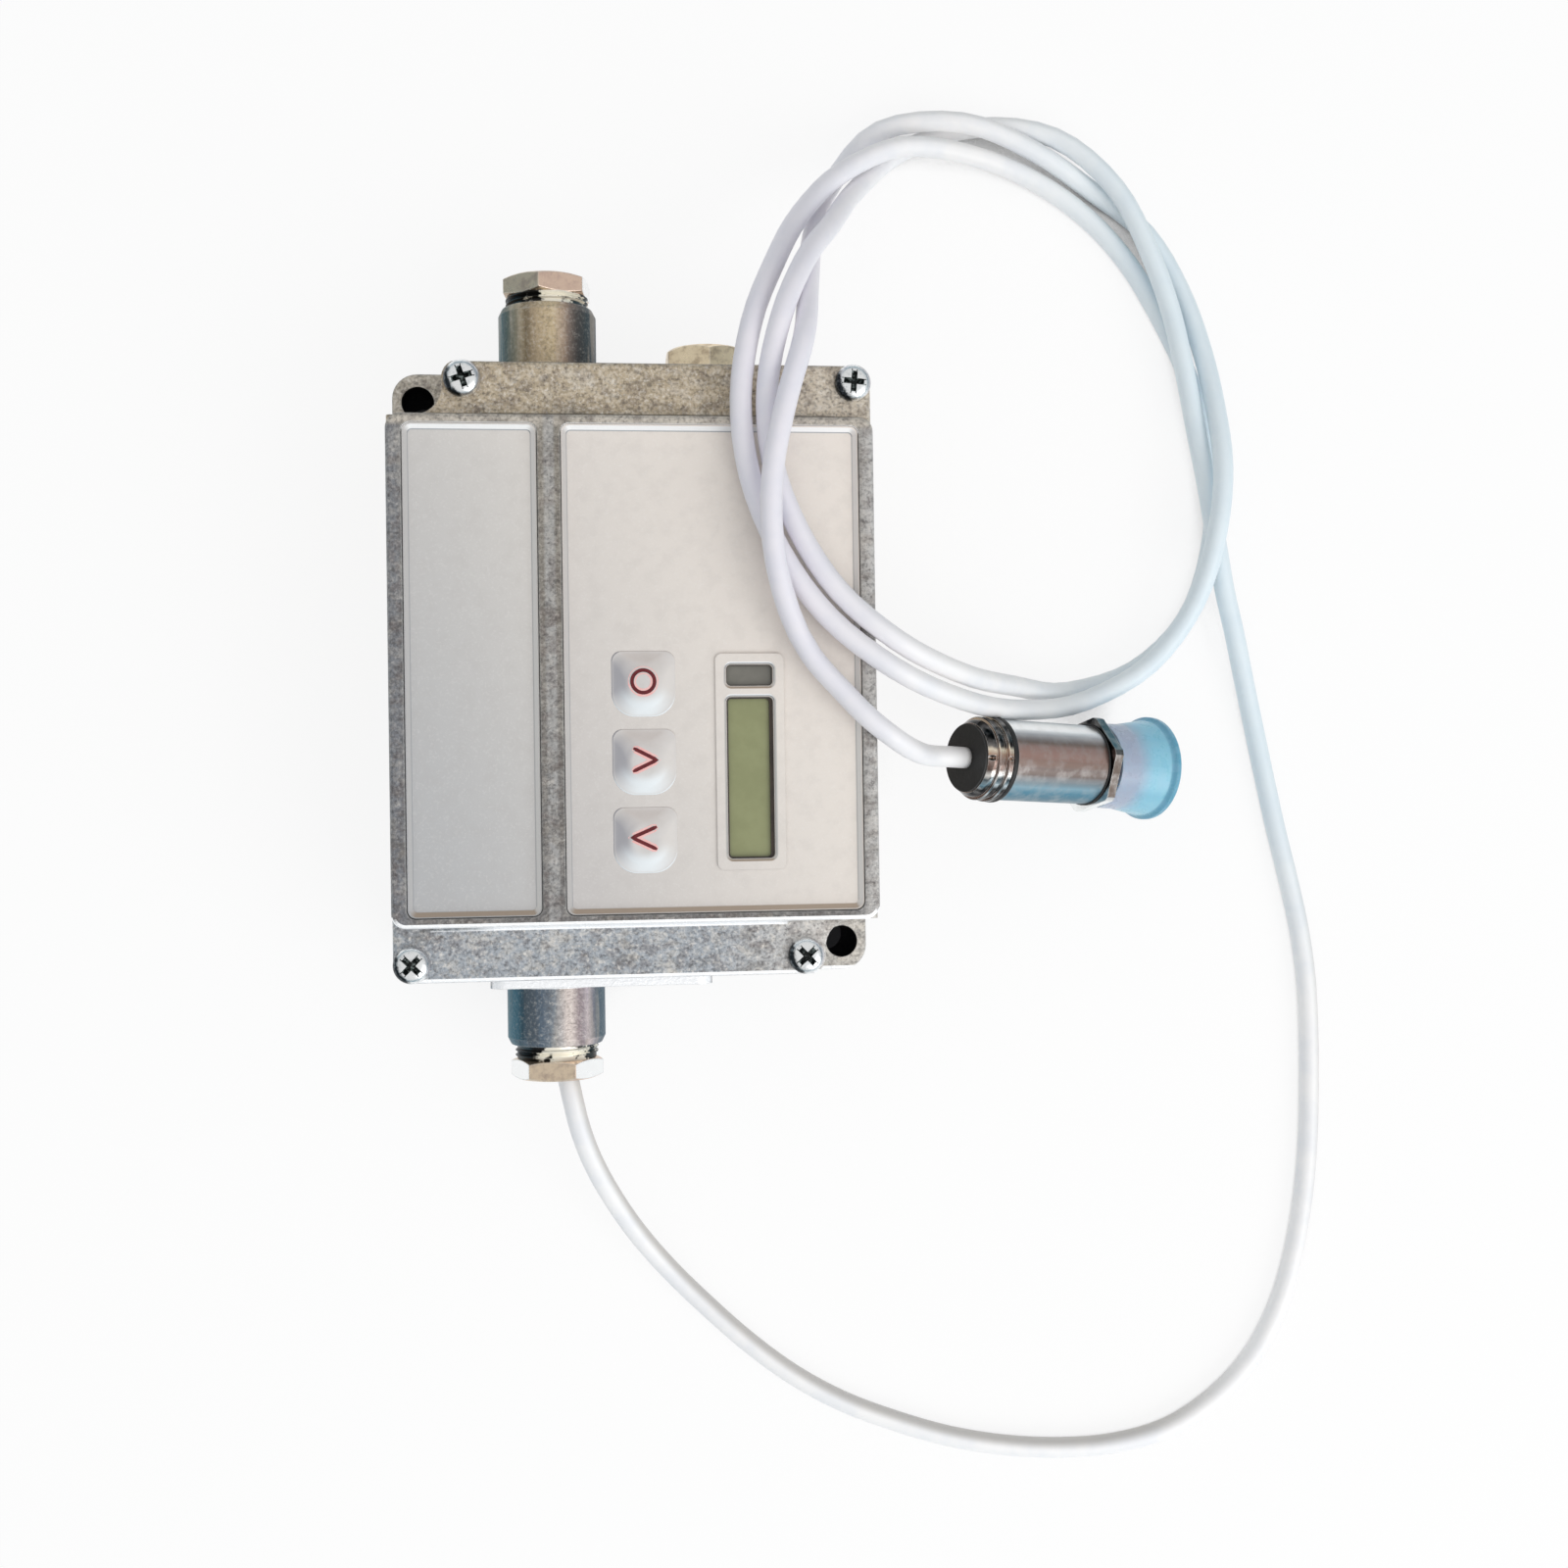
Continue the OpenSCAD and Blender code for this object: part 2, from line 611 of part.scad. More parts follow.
// The cast base: floor, walls, two gland sockets, two ears, board bosses and the pad at one end
module base_housing() {
    color([0.60, 0.60, 0.60]) difference() {
        union() {
            soft_block(half_w, base_end, base_corner_r, 0, base_h, slip);
            for (side = [-1, 1]) on_end(side, gland_x) rotate_extrude($fn = round_sides)
                polygon([[0, -end_wall / 2], [socket_d / 2, -end_wall / 2],
                    [socket_d / 2, socket_l - socket_chamfer],
                    [socket_d / 2 - socket_chamfer / 2, socket_l], [0, socket_l]]);
            end_pad();
        }
        difference() {
            translate([0, 0, floor_t]) rounded_plate(-cavity_x, -cavity_y, cavity_x, cavity_y,
                cavity_corner_r, base_h);
            for (x = [-boss_x, boss_x], y = [-boss_y, boss_y]) translate([x, y, 0])
                drill(0, main_z, boss_d / 2);
        }
        for (x = [-boss_x, boss_x], y = [-boss_y, boss_y]) translate([x, y, 0])
            drill(main_z - boss_h * tap_share, main_z + over, small_screw_d / 2 + slip / 2);
        translate([0, 0, base_h - gasket_h]) gasket_outline(gasket_w + slip, gasket_h + over);
        ear_notch(ear_h, base_h + over);
        for (turn = [0, 180]) rotate(turn) translate([ear_hole.x, ear_hole.y, 0])
            drill(-over, ear_h + over, wall_hole_d / 2);
        at_cover_screws() drill(flange_z - screw_l - over, base_h + over, screw_d / 2 + slip / 2);
        for (side = [-1, 1]) on_end(side, gland_x) {
            drill(0, socket_l + over, socket_bore_r);
            drill(-end_wall - over, over, inner_hole_d / 2);
        }
        on_end(1, plug_x) drill(-end_wall - over, base_proud + over, plug_d / 2 + slip);
    }
}

// The low pad around the gland at the cord's end
module end_pad() {
    depth = pad_t + base_proud + end_wall / 2;
    hull() {
        for (x = [pad_x - pad_w / 2 + pad_corner_r, pad_x + pad_w / 2 - pad_corner_r])
            for (z = [base_h - pad_h + pad_corner_r, base_h - pad_corner_r])
                translate([x, -base_end - pad_t, z]) rotate([-90, 0, 0])
                    cylinder(h = depth, r = pad_corner_r, $fn = hull_sides);
    }
}

// The closed path of the gasket, seen from above
module gasket_outline(width, h) {
    mid_x = (half_w + cavity_x) / 2;
    mid_y = (rim_end + cavity_y) / 2;
    difference() {
        rounded_plate(-mid_x - width / 2, -mid_y - width / 2, mid_x + width / 2, mid_y + width / 2,
            cavity_corner_r, h);
        translate([0, 0, -over]) rounded_plate(width / 2 - mid_x, width / 2 - mid_y,
            mid_x - width / 2, mid_y - width / 2, cavity_corner_r - width / 2, h + 2 * over);
    }
}

module cover_gasket() {
    color([0.1, 0.1, 0.1]) translate([0, 0, base_h - gasket_h]) gasket_outline(gasket_w, gasket_h);
}

// The cast cover: flanges at both ends, the rim with its rib, recesses and openings
module cover() {
    color([0.66, 0.64, 0.61]) difference() {
        union() {
            difference() {
                soft_block(half_w, half_l, flange_corner_r, base_h, flange_z, cast_edge);
                ear_notch(base_h - over, flange_z + over);
            }
            soft_block(half_w, rim_end, rim_corner_r, base_h, box_h, cast_edge);
            for (turn = [0, 180]) rotate(turn) rim_foot();
        }
        translate([0, 0, base_h - over]) rounded_plate(-cavity_x, -cavity_y, cavity_x, cavity_y,
            cavity_corner_r, ceiling_z - base_h + over);
        translate([0, 0, recess_z]) {
            rounded_plate(label_x0, -plate_y - fit_gap, label_x1, plate_y + fit_gap,
                plate_corner_r, box_h);
            rounded_plate(panel_x0, -plate_y - fit_gap, panel_x1 + fit_gap, plate_y + fit_gap,
                plate_corner_r, box_h);
        }
        key_openings(ceiling_z - over, box_h);
        display_openings(ceiling_z - over, box_h);
        at_cover_screws() drill(base_h - over, flange_z + over, screw_d / 2 + fit_gap);
    }
}

// Fillet between the rim's end and the flange
module rim_foot() {
    length = corner_screw.x - ear_screw.x - screw_head_d;
    translate([ear_screw.x + screw_head_d / 2, rim_end, flange_z]) rotate([90, 0, 90])
        linear_extrude(length) difference() {
            translate([-over, -over]) square(foot_fillet + over);
            translate([foot_fillet, foot_fillet]) circle(foot_fillet, $fn = round_sides);
        }
}

// What the keys pass through
module key_openings(z0, z1) {
    for (k = [0:key_count - 1]) translate([key_x, key_y - k * key_pitch, z0])
        linear_extrude(z1 - z0) key_outline(key_gap);
}

// A key's outline grown by a gap: a straight upper edge and a rounded lower one
module key_outline(gap) {
    x = key_w / 2 + gap;
    y = key_l / 2 + gap;
    r = key_corner_r + gap;
    foot_r = key_foot_r + gap;
    polygon(concat(
        arc([x - r, y - r], r, 0, 90),
        arc([r - x, y - r], r, 90, 180),
        arc([foot_r - x, foot_r - y], foot_r, 180, 270),
        arc([x - foot_r, foot_r - y], foot_r, 270, 360)
    ));
}

// What the display and the indicator are seen through
module display_openings(z0, z1) {
    display_block(display_y, display_l, 0, z0, z1);
    display_block(indicator_y, indicator_l, 0, z0, z1);
}

// A rounded block in one of both openings, smaller than it by a gap
module display_block(y, l, gap, z0, z1) {
    translate([0, 0, z0]) rounded_plate(display_x + gap, y + gap, display_x + display_w - gap,
        y + l - gap, display_corner_r - gap, z1 - z0);
}

// Pan-head screws with a cross recess
module cover_screws() {
    color([0.80, 0.80, 0.80]) at_cover_screws() difference() {
        union() {
            drill(flange_z - screw_l, flange_z, screw_d / 2);
            translate([0, 0, flange_z]) rotate_extrude($fn = round_sides)
                polygon([for (share = pan_shares) [share.x * screw_head_d, share.y * screw_head_h]]);
        }
        cross_slot(screw_head_d * slot_width_share, screw_head_h * slot_depth_share,
            flange_z + screw_head_h);
    }
}

// A front plate with its raised border
module front_plate(x0, x1) {
    r = plate_corner_r - fit_gap;
    difference() {
        translate([0, 0, recess_z]) rounded_plate(x0, -plate_y, x1, plate_y, r,
            plate_t + border_rise);
        hull() {
            front_slab(x0, x1, border_w, border_corner_r, plate_z);
            front_slab(x0, x1, border_crest, r, plate_z + border_rise);
        }
    }
}

module front_slab(x0, x1, inset, r, z) {
    translate([0, 0, z]) rounded_plate(x0 + inset, inset - plate_y, x1 - inset, plate_y - inset,
        r, border_slab);
}

module label_plate() {
    color([0.82, 0.80, 0.77]) front_plate(label_x0 + fit_gap, label_x1 - fit_gap);
}

module control_panel() {
    color([0.88, 0.85, 0.82]) difference() {
        front_plate(panel_x0 + fit_gap, panel_x1);
        key_openings(recess_z - over, box_h);
        display_openings(recess_z - over, box_h);
    }
}

// The low frame round both openings, its inner edges flared
module display_bezel() {
    color([0.90, 0.87, 0.84]) difference() {
        translate([0, 0, plate_z]) rounded_plate(bezel_x0, bezel_y0, bezel_x1, bezel_y1,
            bezel_corner_r, bezel_rise);
        display_openings(plate_z - over, box_h);
        flared(display_y, display_l);
        flared(indicator_y, indicator_l);
    }
}

module flared(y, l) {
    top = plate_z + bezel_rise;
    hull() {
        display_block(y, l, 0, plate_z - slip, plate_z);
        display_block(y, l, -bezel_flare, top, top + slip);
    }
}

module display_window() {
    color([0.55, 0.56, 0.42])
        display_block(display_y, display_l, slip, window_z, window_z + window_t);
}

module indicator_window() {
    color([0.46, 0.46, 0.42])
        display_block(indicator_y, indicator_l, slip, window_z, window_z + window_t);
}

module display_lcd() {
    color([0.50, 0.52, 0.40])
        display_block(display_y, display_l, fit_gap, lcd_z, lcd_z + lcd_t);
}

// What carries the display above its board
module display_holder() {
    wide = display_w * holder_share;
    top = min(lcd_z, ceiling_z - fit_gap);
    color([0.85, 0.85, 0.85]) {
        translate([display_x + (display_w - wide) / 2, display_y, upper_z])
            cube([wide, display_l, top - upper_z]);
        display_block(display_y, display_l, fit_gap, top, lcd_z);
    }
}

module indicator_led() {
    color([0.9, 0.9, 0.85]) translate([display_x + (display_w - led_w) / 2,
        indicator_y + (indicator_l - led_w) / 2, upper_z]) cube([led_w, led_w, led_h]);
}

// A key: a soft dome through the roof, on a lip that holds it in
module key_cap(k) {
    color([0.88, 0.88, 0.88]) translate([key_x, key_y - k * key_pitch, 0]) {
        translate([0, 0, key_bottom]) rounded_plate(-key_w / 2 - key_lip, -key_l / 2 - key_lip,
            key_w / 2 + key_lip, key_l / 2 + key_lip, key_corner_r, key_lip_t);
        hull() {
            key_posts(key_corner_r, 1);
            key_posts(key_foot_r, -1);
        }
    }
}

// The two round posts at one edge of a key: side 1 is its upper edge
module key_posts(r, side) {
    for (x = [-1, 1]) translate([x * (key_w / 2 - r), side * (key_l / 2 - r), 0])
        soft_post(r, key_bottom, plate_z + key_rise, min(key_rise, key_corner_r * key_dome_share));
}

module key_ring() { key_cap(0); }
module key_down() { key_cap(1); }
module key_up() { key_cap(2); }

// Push switches under the keys, with their round actuators
module key_switches() {
    body_h = switch_h - actuator_h;
    color([0.15, 0.15, 0.15]) for (k = [0:key_count - 1])
        translate([key_x, key_y - k * key_pitch, 0]) {
            translate([-switch_w / 2, -switch_w / 2, upper_z]) cube([switch_w, switch_w, body_h]);
            drill(upper_z + body_h, switch_top, actuator_d / 2);
        }
}

module at_spacers() {
    for (x = spacer_x, y = [-spacer_y, spacer_y]) translate([x, y, 0]) children();
}

// The board with the keys and the display, screwed up to the cover on spacers
module upper_board() {
    color([0.1, 0.35, 0.2]) difference() {
        translate([upper_x0, -upper_y, upper_z - board_t])
            cube([upper_x1 - upper_x0, 2 * upper_y, board_t]);
        at_spacers() drill(upper_z - board_t - over, upper_z + over, small_screw_d / 2 + fit_gap);
    }
}

module upper_spacers() {
    color([0.75, 0.75, 0.72]) at_spacers()
        tube(upper_z, ceiling_z, spacer_d / 2, small_screw_d / 2 + slip / 2);
}

module upper_screws() {
    color([0.8, 0.8, 0.8]) at_spacers() {
        drill(upper_z - board_t - small_head_h, upper_z - board_t, small_head_d / 2);
        drill(upper_z - board_t, ceiling_z - slip, small_screw_d / 2);
    }
}

module at_bosses() {
    for (x = [-boss_x, boss_x], y = [-boss_y, boss_y]) translate([x, y, 0]) children();
}

module main_board() {
    color([0.1, 0.38, 0.22]) difference() {
        translate([-main_x, -main_y, main_z]) cube([2 * main_x, 2 * main_y, board_t]);
        at_bosses() drill(main_z - over, main_top + over, small_screw_d / 2 + fit_gap);
    }
}

module main_screws() {
    color([0.8, 0.8, 0.8]) at_bosses() difference() {
        union() {
            drill(main_top - boss_h, main_top, small_screw_d / 2);
            drill(main_top, main_top + small_head_h, small_head_d / 2);
        }
        cross_slot(small_head_d * slot_width_share, small_head_h * slot_depth_share,
            main_top + small_head_h);
    }
}

// Chips, a relay and a coil, as shares of the board and of the room over it:
// [x, y, width, length, height]
part_shares = [
    [0.48, 0.45, 0.24, 0.22, 0.1], [0.45, -0.1, 0.2, 0.2, 0.08], [0.1, 0.1, 0.36, 0.24, 0.92],
    [-0.4, 0.1, 0.28, 0.2, 0.6], [0.5, -0.55, 0.24, 0.18, 0.12], [0.15, -0.2, 0.12, 0.1, 0.16]
];
// Capacitors: [x, y, radius], and their height
can_shares = [[0.2, 0.62, 0.14], [-0.75, 0.22, 0.1], [-0.75, -0.1, 0.1]];
can_height_share = 0.6;

module main_parts() {
    color([0.12, 0.12, 0.13]) {
        for (p = part_shares)
            translate([(p[0] - p[2] / 2) * main_x, (p[1] - p[3] / 2) * main_y, main_top])
                cube([p[2] * main_x, p[3] * main_y, p[4] * room]);
        for (p = can_shares) translate([p[0] * main_x, p[1] * main_y, 0])
            drill(main_top, main_top + room * can_height_share, p[2] * main_x);
    }
}

// The connector between the two boards
module board_header() {
    color([0.14, 0.14, 0.14]) translate([header_x - header_w / 2, -header_l / 2, main_top])
        cube([header_w, header_l, room]);
}

module at_terminals() {
    for (y = [head_terminal_y, supply_terminal_y]) translate([gland_x, y, main_top]) children();
}

module terminal_blocks() {
    color([0.15, 0.42, 0.2]) at_terminals() difference() {
        translate([-terminal_w / 2, -terminal_l / 2, 0]) cube([terminal_w, terminal_l, terminal_h]);
        at_terminal_screws() drill(terminal_h / 2, terminal_h + over, terminal_screw_d / 2 + slip);
    }
}

module at_terminal_screws() {
    for (k = [0:terminal_count - 1])
        translate([(k - (terminal_count - 1) / 2) * terminal_pitch, 0, 0]) children();
}

module terminal_screws() {
    color([0.8, 0.8, 0.78]) at_terminals() at_terminal_screws()
        drill(terminal_h / 2, terminal_h - terminal_screw_drop, terminal_screw_d / 2);
}

// The bridge that holds the cord down inside the box
module cord_clamp() {
    color([0.78, 0.78, 0.76]) difference() {
        translate([gland_x - clamp_w / 2, clamp_y, main_top])
            cube([clamp_w, clamp_l, gland_z + cord_r + clamp_roof - main_top]);
        on_end(-1, gland_x) drill(-half_l, over, cord_r + slip);
    }
}

// The last of the cord, from the face of the pressure screw through the gland to the clamp
module cord_end() {
    color([0.85, 0.85, 0.88]) on_end(-1, gland_x) drill(-half_l - cord_end_y, nut_end, cord_r);
}

// Share of a wire's bend at a share of its run: its two ends are straight
function wire_bend(t) =
    min(max((t - wire_end_share) / (1 - 2 * wire_end_share), 0), 1);

// The cord's cores, which fan out from its end to the terminals
module inner_wires() {
    spread = cord_r / 2;
    color([0.7, 0.2, 0.15]) for (k = [0:wire_count - 1]) {
        side = k - (wire_count - 1) / 2;
        path = [for (t = wire_shares) let (bend = 1 - ramp(wire_bend(t)))
            [gland_x + side * (spread + (terminal_pitch - spread) * bend),
                cord_end_y + wire_run * t, gland_z - wire_drop * bend]];
        swept(path, 0, len(path) - 1, wire_d / 2, coil_sides);
    }
}

// The hollow screw that presses a gland's grommet: a threaded shank and a hexagon
module pressure_screw() {
    difference() {
        union() {
            drill(nut_start, hex_start, thread_r);
            hexagon(hex_start, nut_end, nut_flats, nut_bevel);
        }
        drill(nut_start - over, nut_end + over, nut_bore_d / 2);
    }
}

module supply_nut() {
    color([0.78, 0.72, 0.62]) on_end(1, gland_x) rotate(supply_nut_turn) pressure_screw();
}

module cord_nut() {
    color([0.78, 0.72, 0.62]) on_end(-1, gland_x) pressure_screw();
}

module supply_grommet() {
    color([0.08, 0.08, 0.08]) on_end(1, gland_x)
        tube(washer_t, washer_t + grommet_l, thread_r, supply_cable_d / 2);
}

module cord_grommet() {
    color([0.08, 0.08, 0.08]) on_end(-1, gland_x)
        tube(washer_t, washer_t + grommet_l, thread_r, cord_r + slip);
}

module gland_washers() {
    color([0.75, 0.75, 0.75]) for (side = [-1, 1], z = [0, washer_t + grommet_l])
        on_end(side, gland_x) tube(z, z + washer_t, thread_r, inner_hole_d / 2);
}

module blanking_plug() {
    seat = base_proud + plug_seal_t + slip;
    color([0.80, 0.70, 0.52]) on_end(1, plug_x) {
        drill(-plug_depth, seat, plug_d / 2);
        rotate(plug_turn) hexagon(seat, seat + plug_hex_l, nut_flats, nut_bevel);
    }
}

module plug_seal() {
    color([0.08, 0.08, 0.08]) on_end(1, plug_x)
        tube(base_proud, base_proud + plug_seal_t, nut_flats / 2, plug_d / 2 + slip);
}

// Places a child of the head: its +Z runs back from the cap's rim to the cord
module on_head() {
    translate(head_rim) rotate([0, head_pitch, head_yaw]) rotate([0, -90, 0]) children();
}

// A piece turned on a lathe
module turned(outline) {
    rotate_extrude($fn = round_sides) polygon(outline);
}

// The head's tube: threaded nose, barrel and the neck that the collar screws onto
module head_barrel() {
    color([0.62, 0.58, 0.56]) on_head() difference() {
        union() {
            drill(barrel_front, barrel_back, barrel_r);
            drill(nose_front, barrel_front + over, nose_r);
            drill(barrel_back - over, barrel_back + collar_neck_l, neck_r);
        }
        drill(detector_seat, barrel_back + collar_neck_l + over, bore_r);
        drill(nose_front - over, nose_front + lens_ring_t + lens_t, lens_r + slip);
        drill(nose_front, barrel_front, lens_r - lens_seat);
    }
}

// The collar that closes the head's rear end, with a cone down to the cord's plug
module head_collar() {
    color([0.60, 0.57, 0.55]) on_head() difference() {
        turned([[0, collar_front], [collar_r, collar_front], [collar_r, groove_s - groove_w / 2],
            [collar_r - groove_depth, groove_s], [collar_r, groove_s + groove_w / 2],
            [collar_r, collar_back], [back_plug_d / 2 + slip, cone_back], [0, cone_back]]);
        translate([collar_r - groove_depth, 0, collar_front + pin_inset])
            rotate([0, 90, 0]) drill(0, over, pin_d / 2);
        translate([(back_plug_d / 2 + collar_r) / 2, 0, collar_back - groove_depth])
            drill(0, collar_cone_l, pin_d / 2);
        drill(collar_front - over, barrel_back + collar_neck_l, neck_r + slip);
        drill(collar_front, cone_back + over, bore_r - collar_lip);
        drill(plug_seat, cone_back + over, back_plug_d / 2 - slip);
    }
}

// The rubber plug that the cord goes into
module head_back_plug() {
    color([0.06, 0.06, 0.06]) on_head() drill(plug_seat, plug_back, back_plug_d / 2 - 2 * slip);
}

module head_o_ring() {
    color([0.05, 0.05, 0.05]) on_head()
        tube(barrel_back, collar_front, barrel_r - slip, neck_r + slip);
}

module head_lock_ring() {
    color([0.05, 0.05, 0.05]) on_head() tube(ring_front, barrel_front, collar_r, nose_r + slip);
}

// The thin nut on the head's thread, its corners turned off
module head_nut() {
    color([0.70, 0.70, 0.72]) on_head() difference() {
        rotate(head_nut_turn) intersection() {
            translate([0, 0, nut_front])
                cylinder(h = head_nut_t, r = head_nut_flats / 2 / cos(30), $fn = 6);
            drill(nut_front, nut_front + head_nut_t, head_nut_flats * nut_corner_share);
        }
        drill(nut_front - over, nut_front + head_nut_t + over, nose_r + slip);
    }
}

module head_lens() {
    color([0.35, 0.33, 0.36]) on_head()
        drill(nose_front + lens_ring_t, nose_front + lens_ring_t + lens_t, lens_r);
}

module head_lens_ring() {
    color([0.1, 0.1, 0.1]) on_head()
        tube(nose_front, nose_front + lens_ring_t, lens_r, lens_r - lens_seat);
}

// The detector's can and its flange
module head_detector() {
    rim = detector_seat + detector_h;
    color([0.8, 0.78, 0.7]) on_head() {
        drill(detector_seat, rim, detector_r);
        drill(rim, rim + detector_rim_t, detector_rim_r);
    }
}

module head_board() {
    seat = detector_seat + detector_h + detector_rim_t;
    color([0.1, 0.35, 0.2]) on_head() drill(seat, seat + board_t, bore_r - fit_gap);
}

// The protective cap: a cup over the thread, with a flared open dish in front
module head_cap() {
    flare_r = cap_root_r + (rim_r - cap_root_r) * cap_flare_share;
    mid = cap_l * cap_flare_share;
    color([0.60, 0.80, 0.88]) on_head() difference() {
        turned([[0, 0], [rim_r, 0], [rim_r, cap_wall], [flare_r, cap_wall * 2],
            [cap_root_r + cap_wall * cap_waist_share, mid], [cap_root_r, cap_l], [0, cap_l]]);
        drill(web_back, cap_l + over, cap_bore_r);
        turned([[0, -over], [rim_r - cap_wall, -over], [rim_r - cap_wall, 0],
            [cap_bore_r, cap_dish], [0, cap_dish]]);
    }
}

module cord_lead() {
    color([0.86, 0.86, 0.90]) swept(cord_route, 0, coil_first, cord_r, cord_sides);
}

module cord_coil() {
    color([0.86, 0.86, 0.90]) swept(cord_route, coil_first, coil_last, cord_r, coil_sides);
}

module cord_tail() {
    color([0.86, 0.86, 0.90]) swept(cord_route, coil_last, cord_last, cord_r, cord_sides);
}

base_housing();
cover();
cover_gasket();
cover_screws();
label_plate();
control_panel();
display_bezel();
display_window();
indicator_window();
display_lcd();
display_holder();
indicator_led();
key_ring();
key_down();
key_up();
key_switches();
upper_board();
upper_spacers();
upper_screws();
main_board();
main_screws();
main_parts();
board_header();
terminal_blocks();
terminal_screws();
cord_clamp();
inner_wires();
cord_end();
supply_nut();
supply_grommet();
cord_nut();
cord_grommet();
gland_washers();
blanking_plug();
plug_seal();
head_barrel();
head_collar();
head_back_plug();
head_o_ring();
head_lock_ring();
head_nut();
head_lens();
head_lens_ring();
head_detector();
head_board();
head_cap();
cord_lead();
cord_coil();
cord_tail();
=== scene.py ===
# %% [markdown]
# # An infrared temperature sensor
# A small cast box with keys and a display measures the heat that a separate sensing head sees.
# The head hangs on a long thin cord, which lies in a coil across the box. The construction is
# loaded as a fixed frame, and this script gives it its finishes and its finer pieces.
# Everything is in metres, in the frame's own axes: +Z up, +Y towards the supply gland.

# %% The frame
import math

import bpy
from mathutils import Matrix, Vector
from mathutils.bvhtree import BVHTree


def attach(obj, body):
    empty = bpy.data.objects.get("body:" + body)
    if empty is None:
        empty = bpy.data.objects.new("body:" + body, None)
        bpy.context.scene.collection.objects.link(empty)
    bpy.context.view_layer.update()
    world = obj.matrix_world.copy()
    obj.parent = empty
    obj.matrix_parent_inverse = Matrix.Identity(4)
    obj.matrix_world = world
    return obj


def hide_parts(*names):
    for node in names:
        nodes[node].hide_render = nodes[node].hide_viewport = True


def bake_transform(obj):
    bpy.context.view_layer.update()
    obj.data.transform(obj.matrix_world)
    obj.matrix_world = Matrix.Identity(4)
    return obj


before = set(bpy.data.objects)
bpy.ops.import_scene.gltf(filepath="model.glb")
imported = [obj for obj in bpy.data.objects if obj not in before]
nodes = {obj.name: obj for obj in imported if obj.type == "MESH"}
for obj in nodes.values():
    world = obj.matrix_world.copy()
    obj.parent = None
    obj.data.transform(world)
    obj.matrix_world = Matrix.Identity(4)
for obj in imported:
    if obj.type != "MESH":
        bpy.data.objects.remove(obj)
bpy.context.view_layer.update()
MM = 0.001
BOX = "box"

# %% [markdown]
# ## The camera
# The photograph looks down on the box from about 30 cm, a little from the left and from below.
# The height of the rim, the ears and the table gives three scales in one picture, and these
# settle the lens. A longer lens from further off would show the wall holes whole, where the
# photograph hides a part of one behind the rim.

# %% The camera
view = bpy.data.cameras.new("camera")
view.sensor_width = 36
view.lens = 42.86
camera = bpy.data.objects.new("camera", view)
camera.location = (-0.0118, -0.0190, 0.298)
camera.rotation_euler = [math.radians(angle) for angle in (0.57, -6.99, -0.86)]
bpy.context.scene.collection.objects.link(camera)
bpy.context.scene.camera = camera
print("camera", round(camera.location.z, 3), "m up, lens", view.lens, "mm")

# %% [markdown]
# ## The cord's route
# The cord is one soft tube of 3.2 mm. A curve object with a round bevel would do, but here it is
# swept ring by ring as a mesh, so that no handle can dip it under the table. It leaves the lower
# gland, drops to the table, swings out and back under the coil, goes round nearly three times
# and comes down over the rim into the head. The free stretches are listed points. The
# coil is worked out: every 20 degrees it has a radius and a height over what it lies on.

# %% The cord's free stretches, in millimetres
CORD_D = 3.2 * MM
CORD_EXIT = Vector((-0.0113, -0.0572, 0.0145))
LEAD_ROUTE = [
    (-10.5, -60.2, 14.5), (-9.8, -63.6, 14.3), (-8.9, -67.6, 13.7),
    (-7.6, -71.8, 12.4), (-5.75, -76.2, 10.4), (-4.35, -79, 8.9),
    (-0.2, -86, 5.3), (5.2, -93, 2.7), (11.3, -99.4, 1.8),
    (18, -105.6, 1.8), (25, -111, 1.8), (32.5, -115.4, 1.8),
    (41, -119, 1.8), (50, -122, 1.8), (59, -123.9, 1.8),
    (68, -124.8, 1.8), (77, -124.6, 1.8), (86, -122.6, 1.8),
    (94, -118, 1.8), (100.4, -111.8, 1.8), (105, -104, 1.8),
    (108, -95, 1.8), (109.8, -86, 1.8), (110.8, -77, 1.8),
    (111.2, -68, 1.8), (111.3, -59, 1.8), (111, -50, 1.8),
    (110, -42, 1.8), (108.2, -33.4, 1.8), (106.2, -25, 1.8),
    (104.5, -17, 1.8), (102.8, -9, 2), (100.9, -1, 2.8),
    (98.9, 7, 4), (97, 14, 5),
]
TAIL_ROUTE = [(29.6, -3.5, 31.8), (33.4, -7.4, 31.8),
              (37.1, -10.2, 30.8), (40.6, -12, 27.6)]
print("free stretches:", len(LEAD_ROUTE) + len(TAIL_ROUTE), "points")

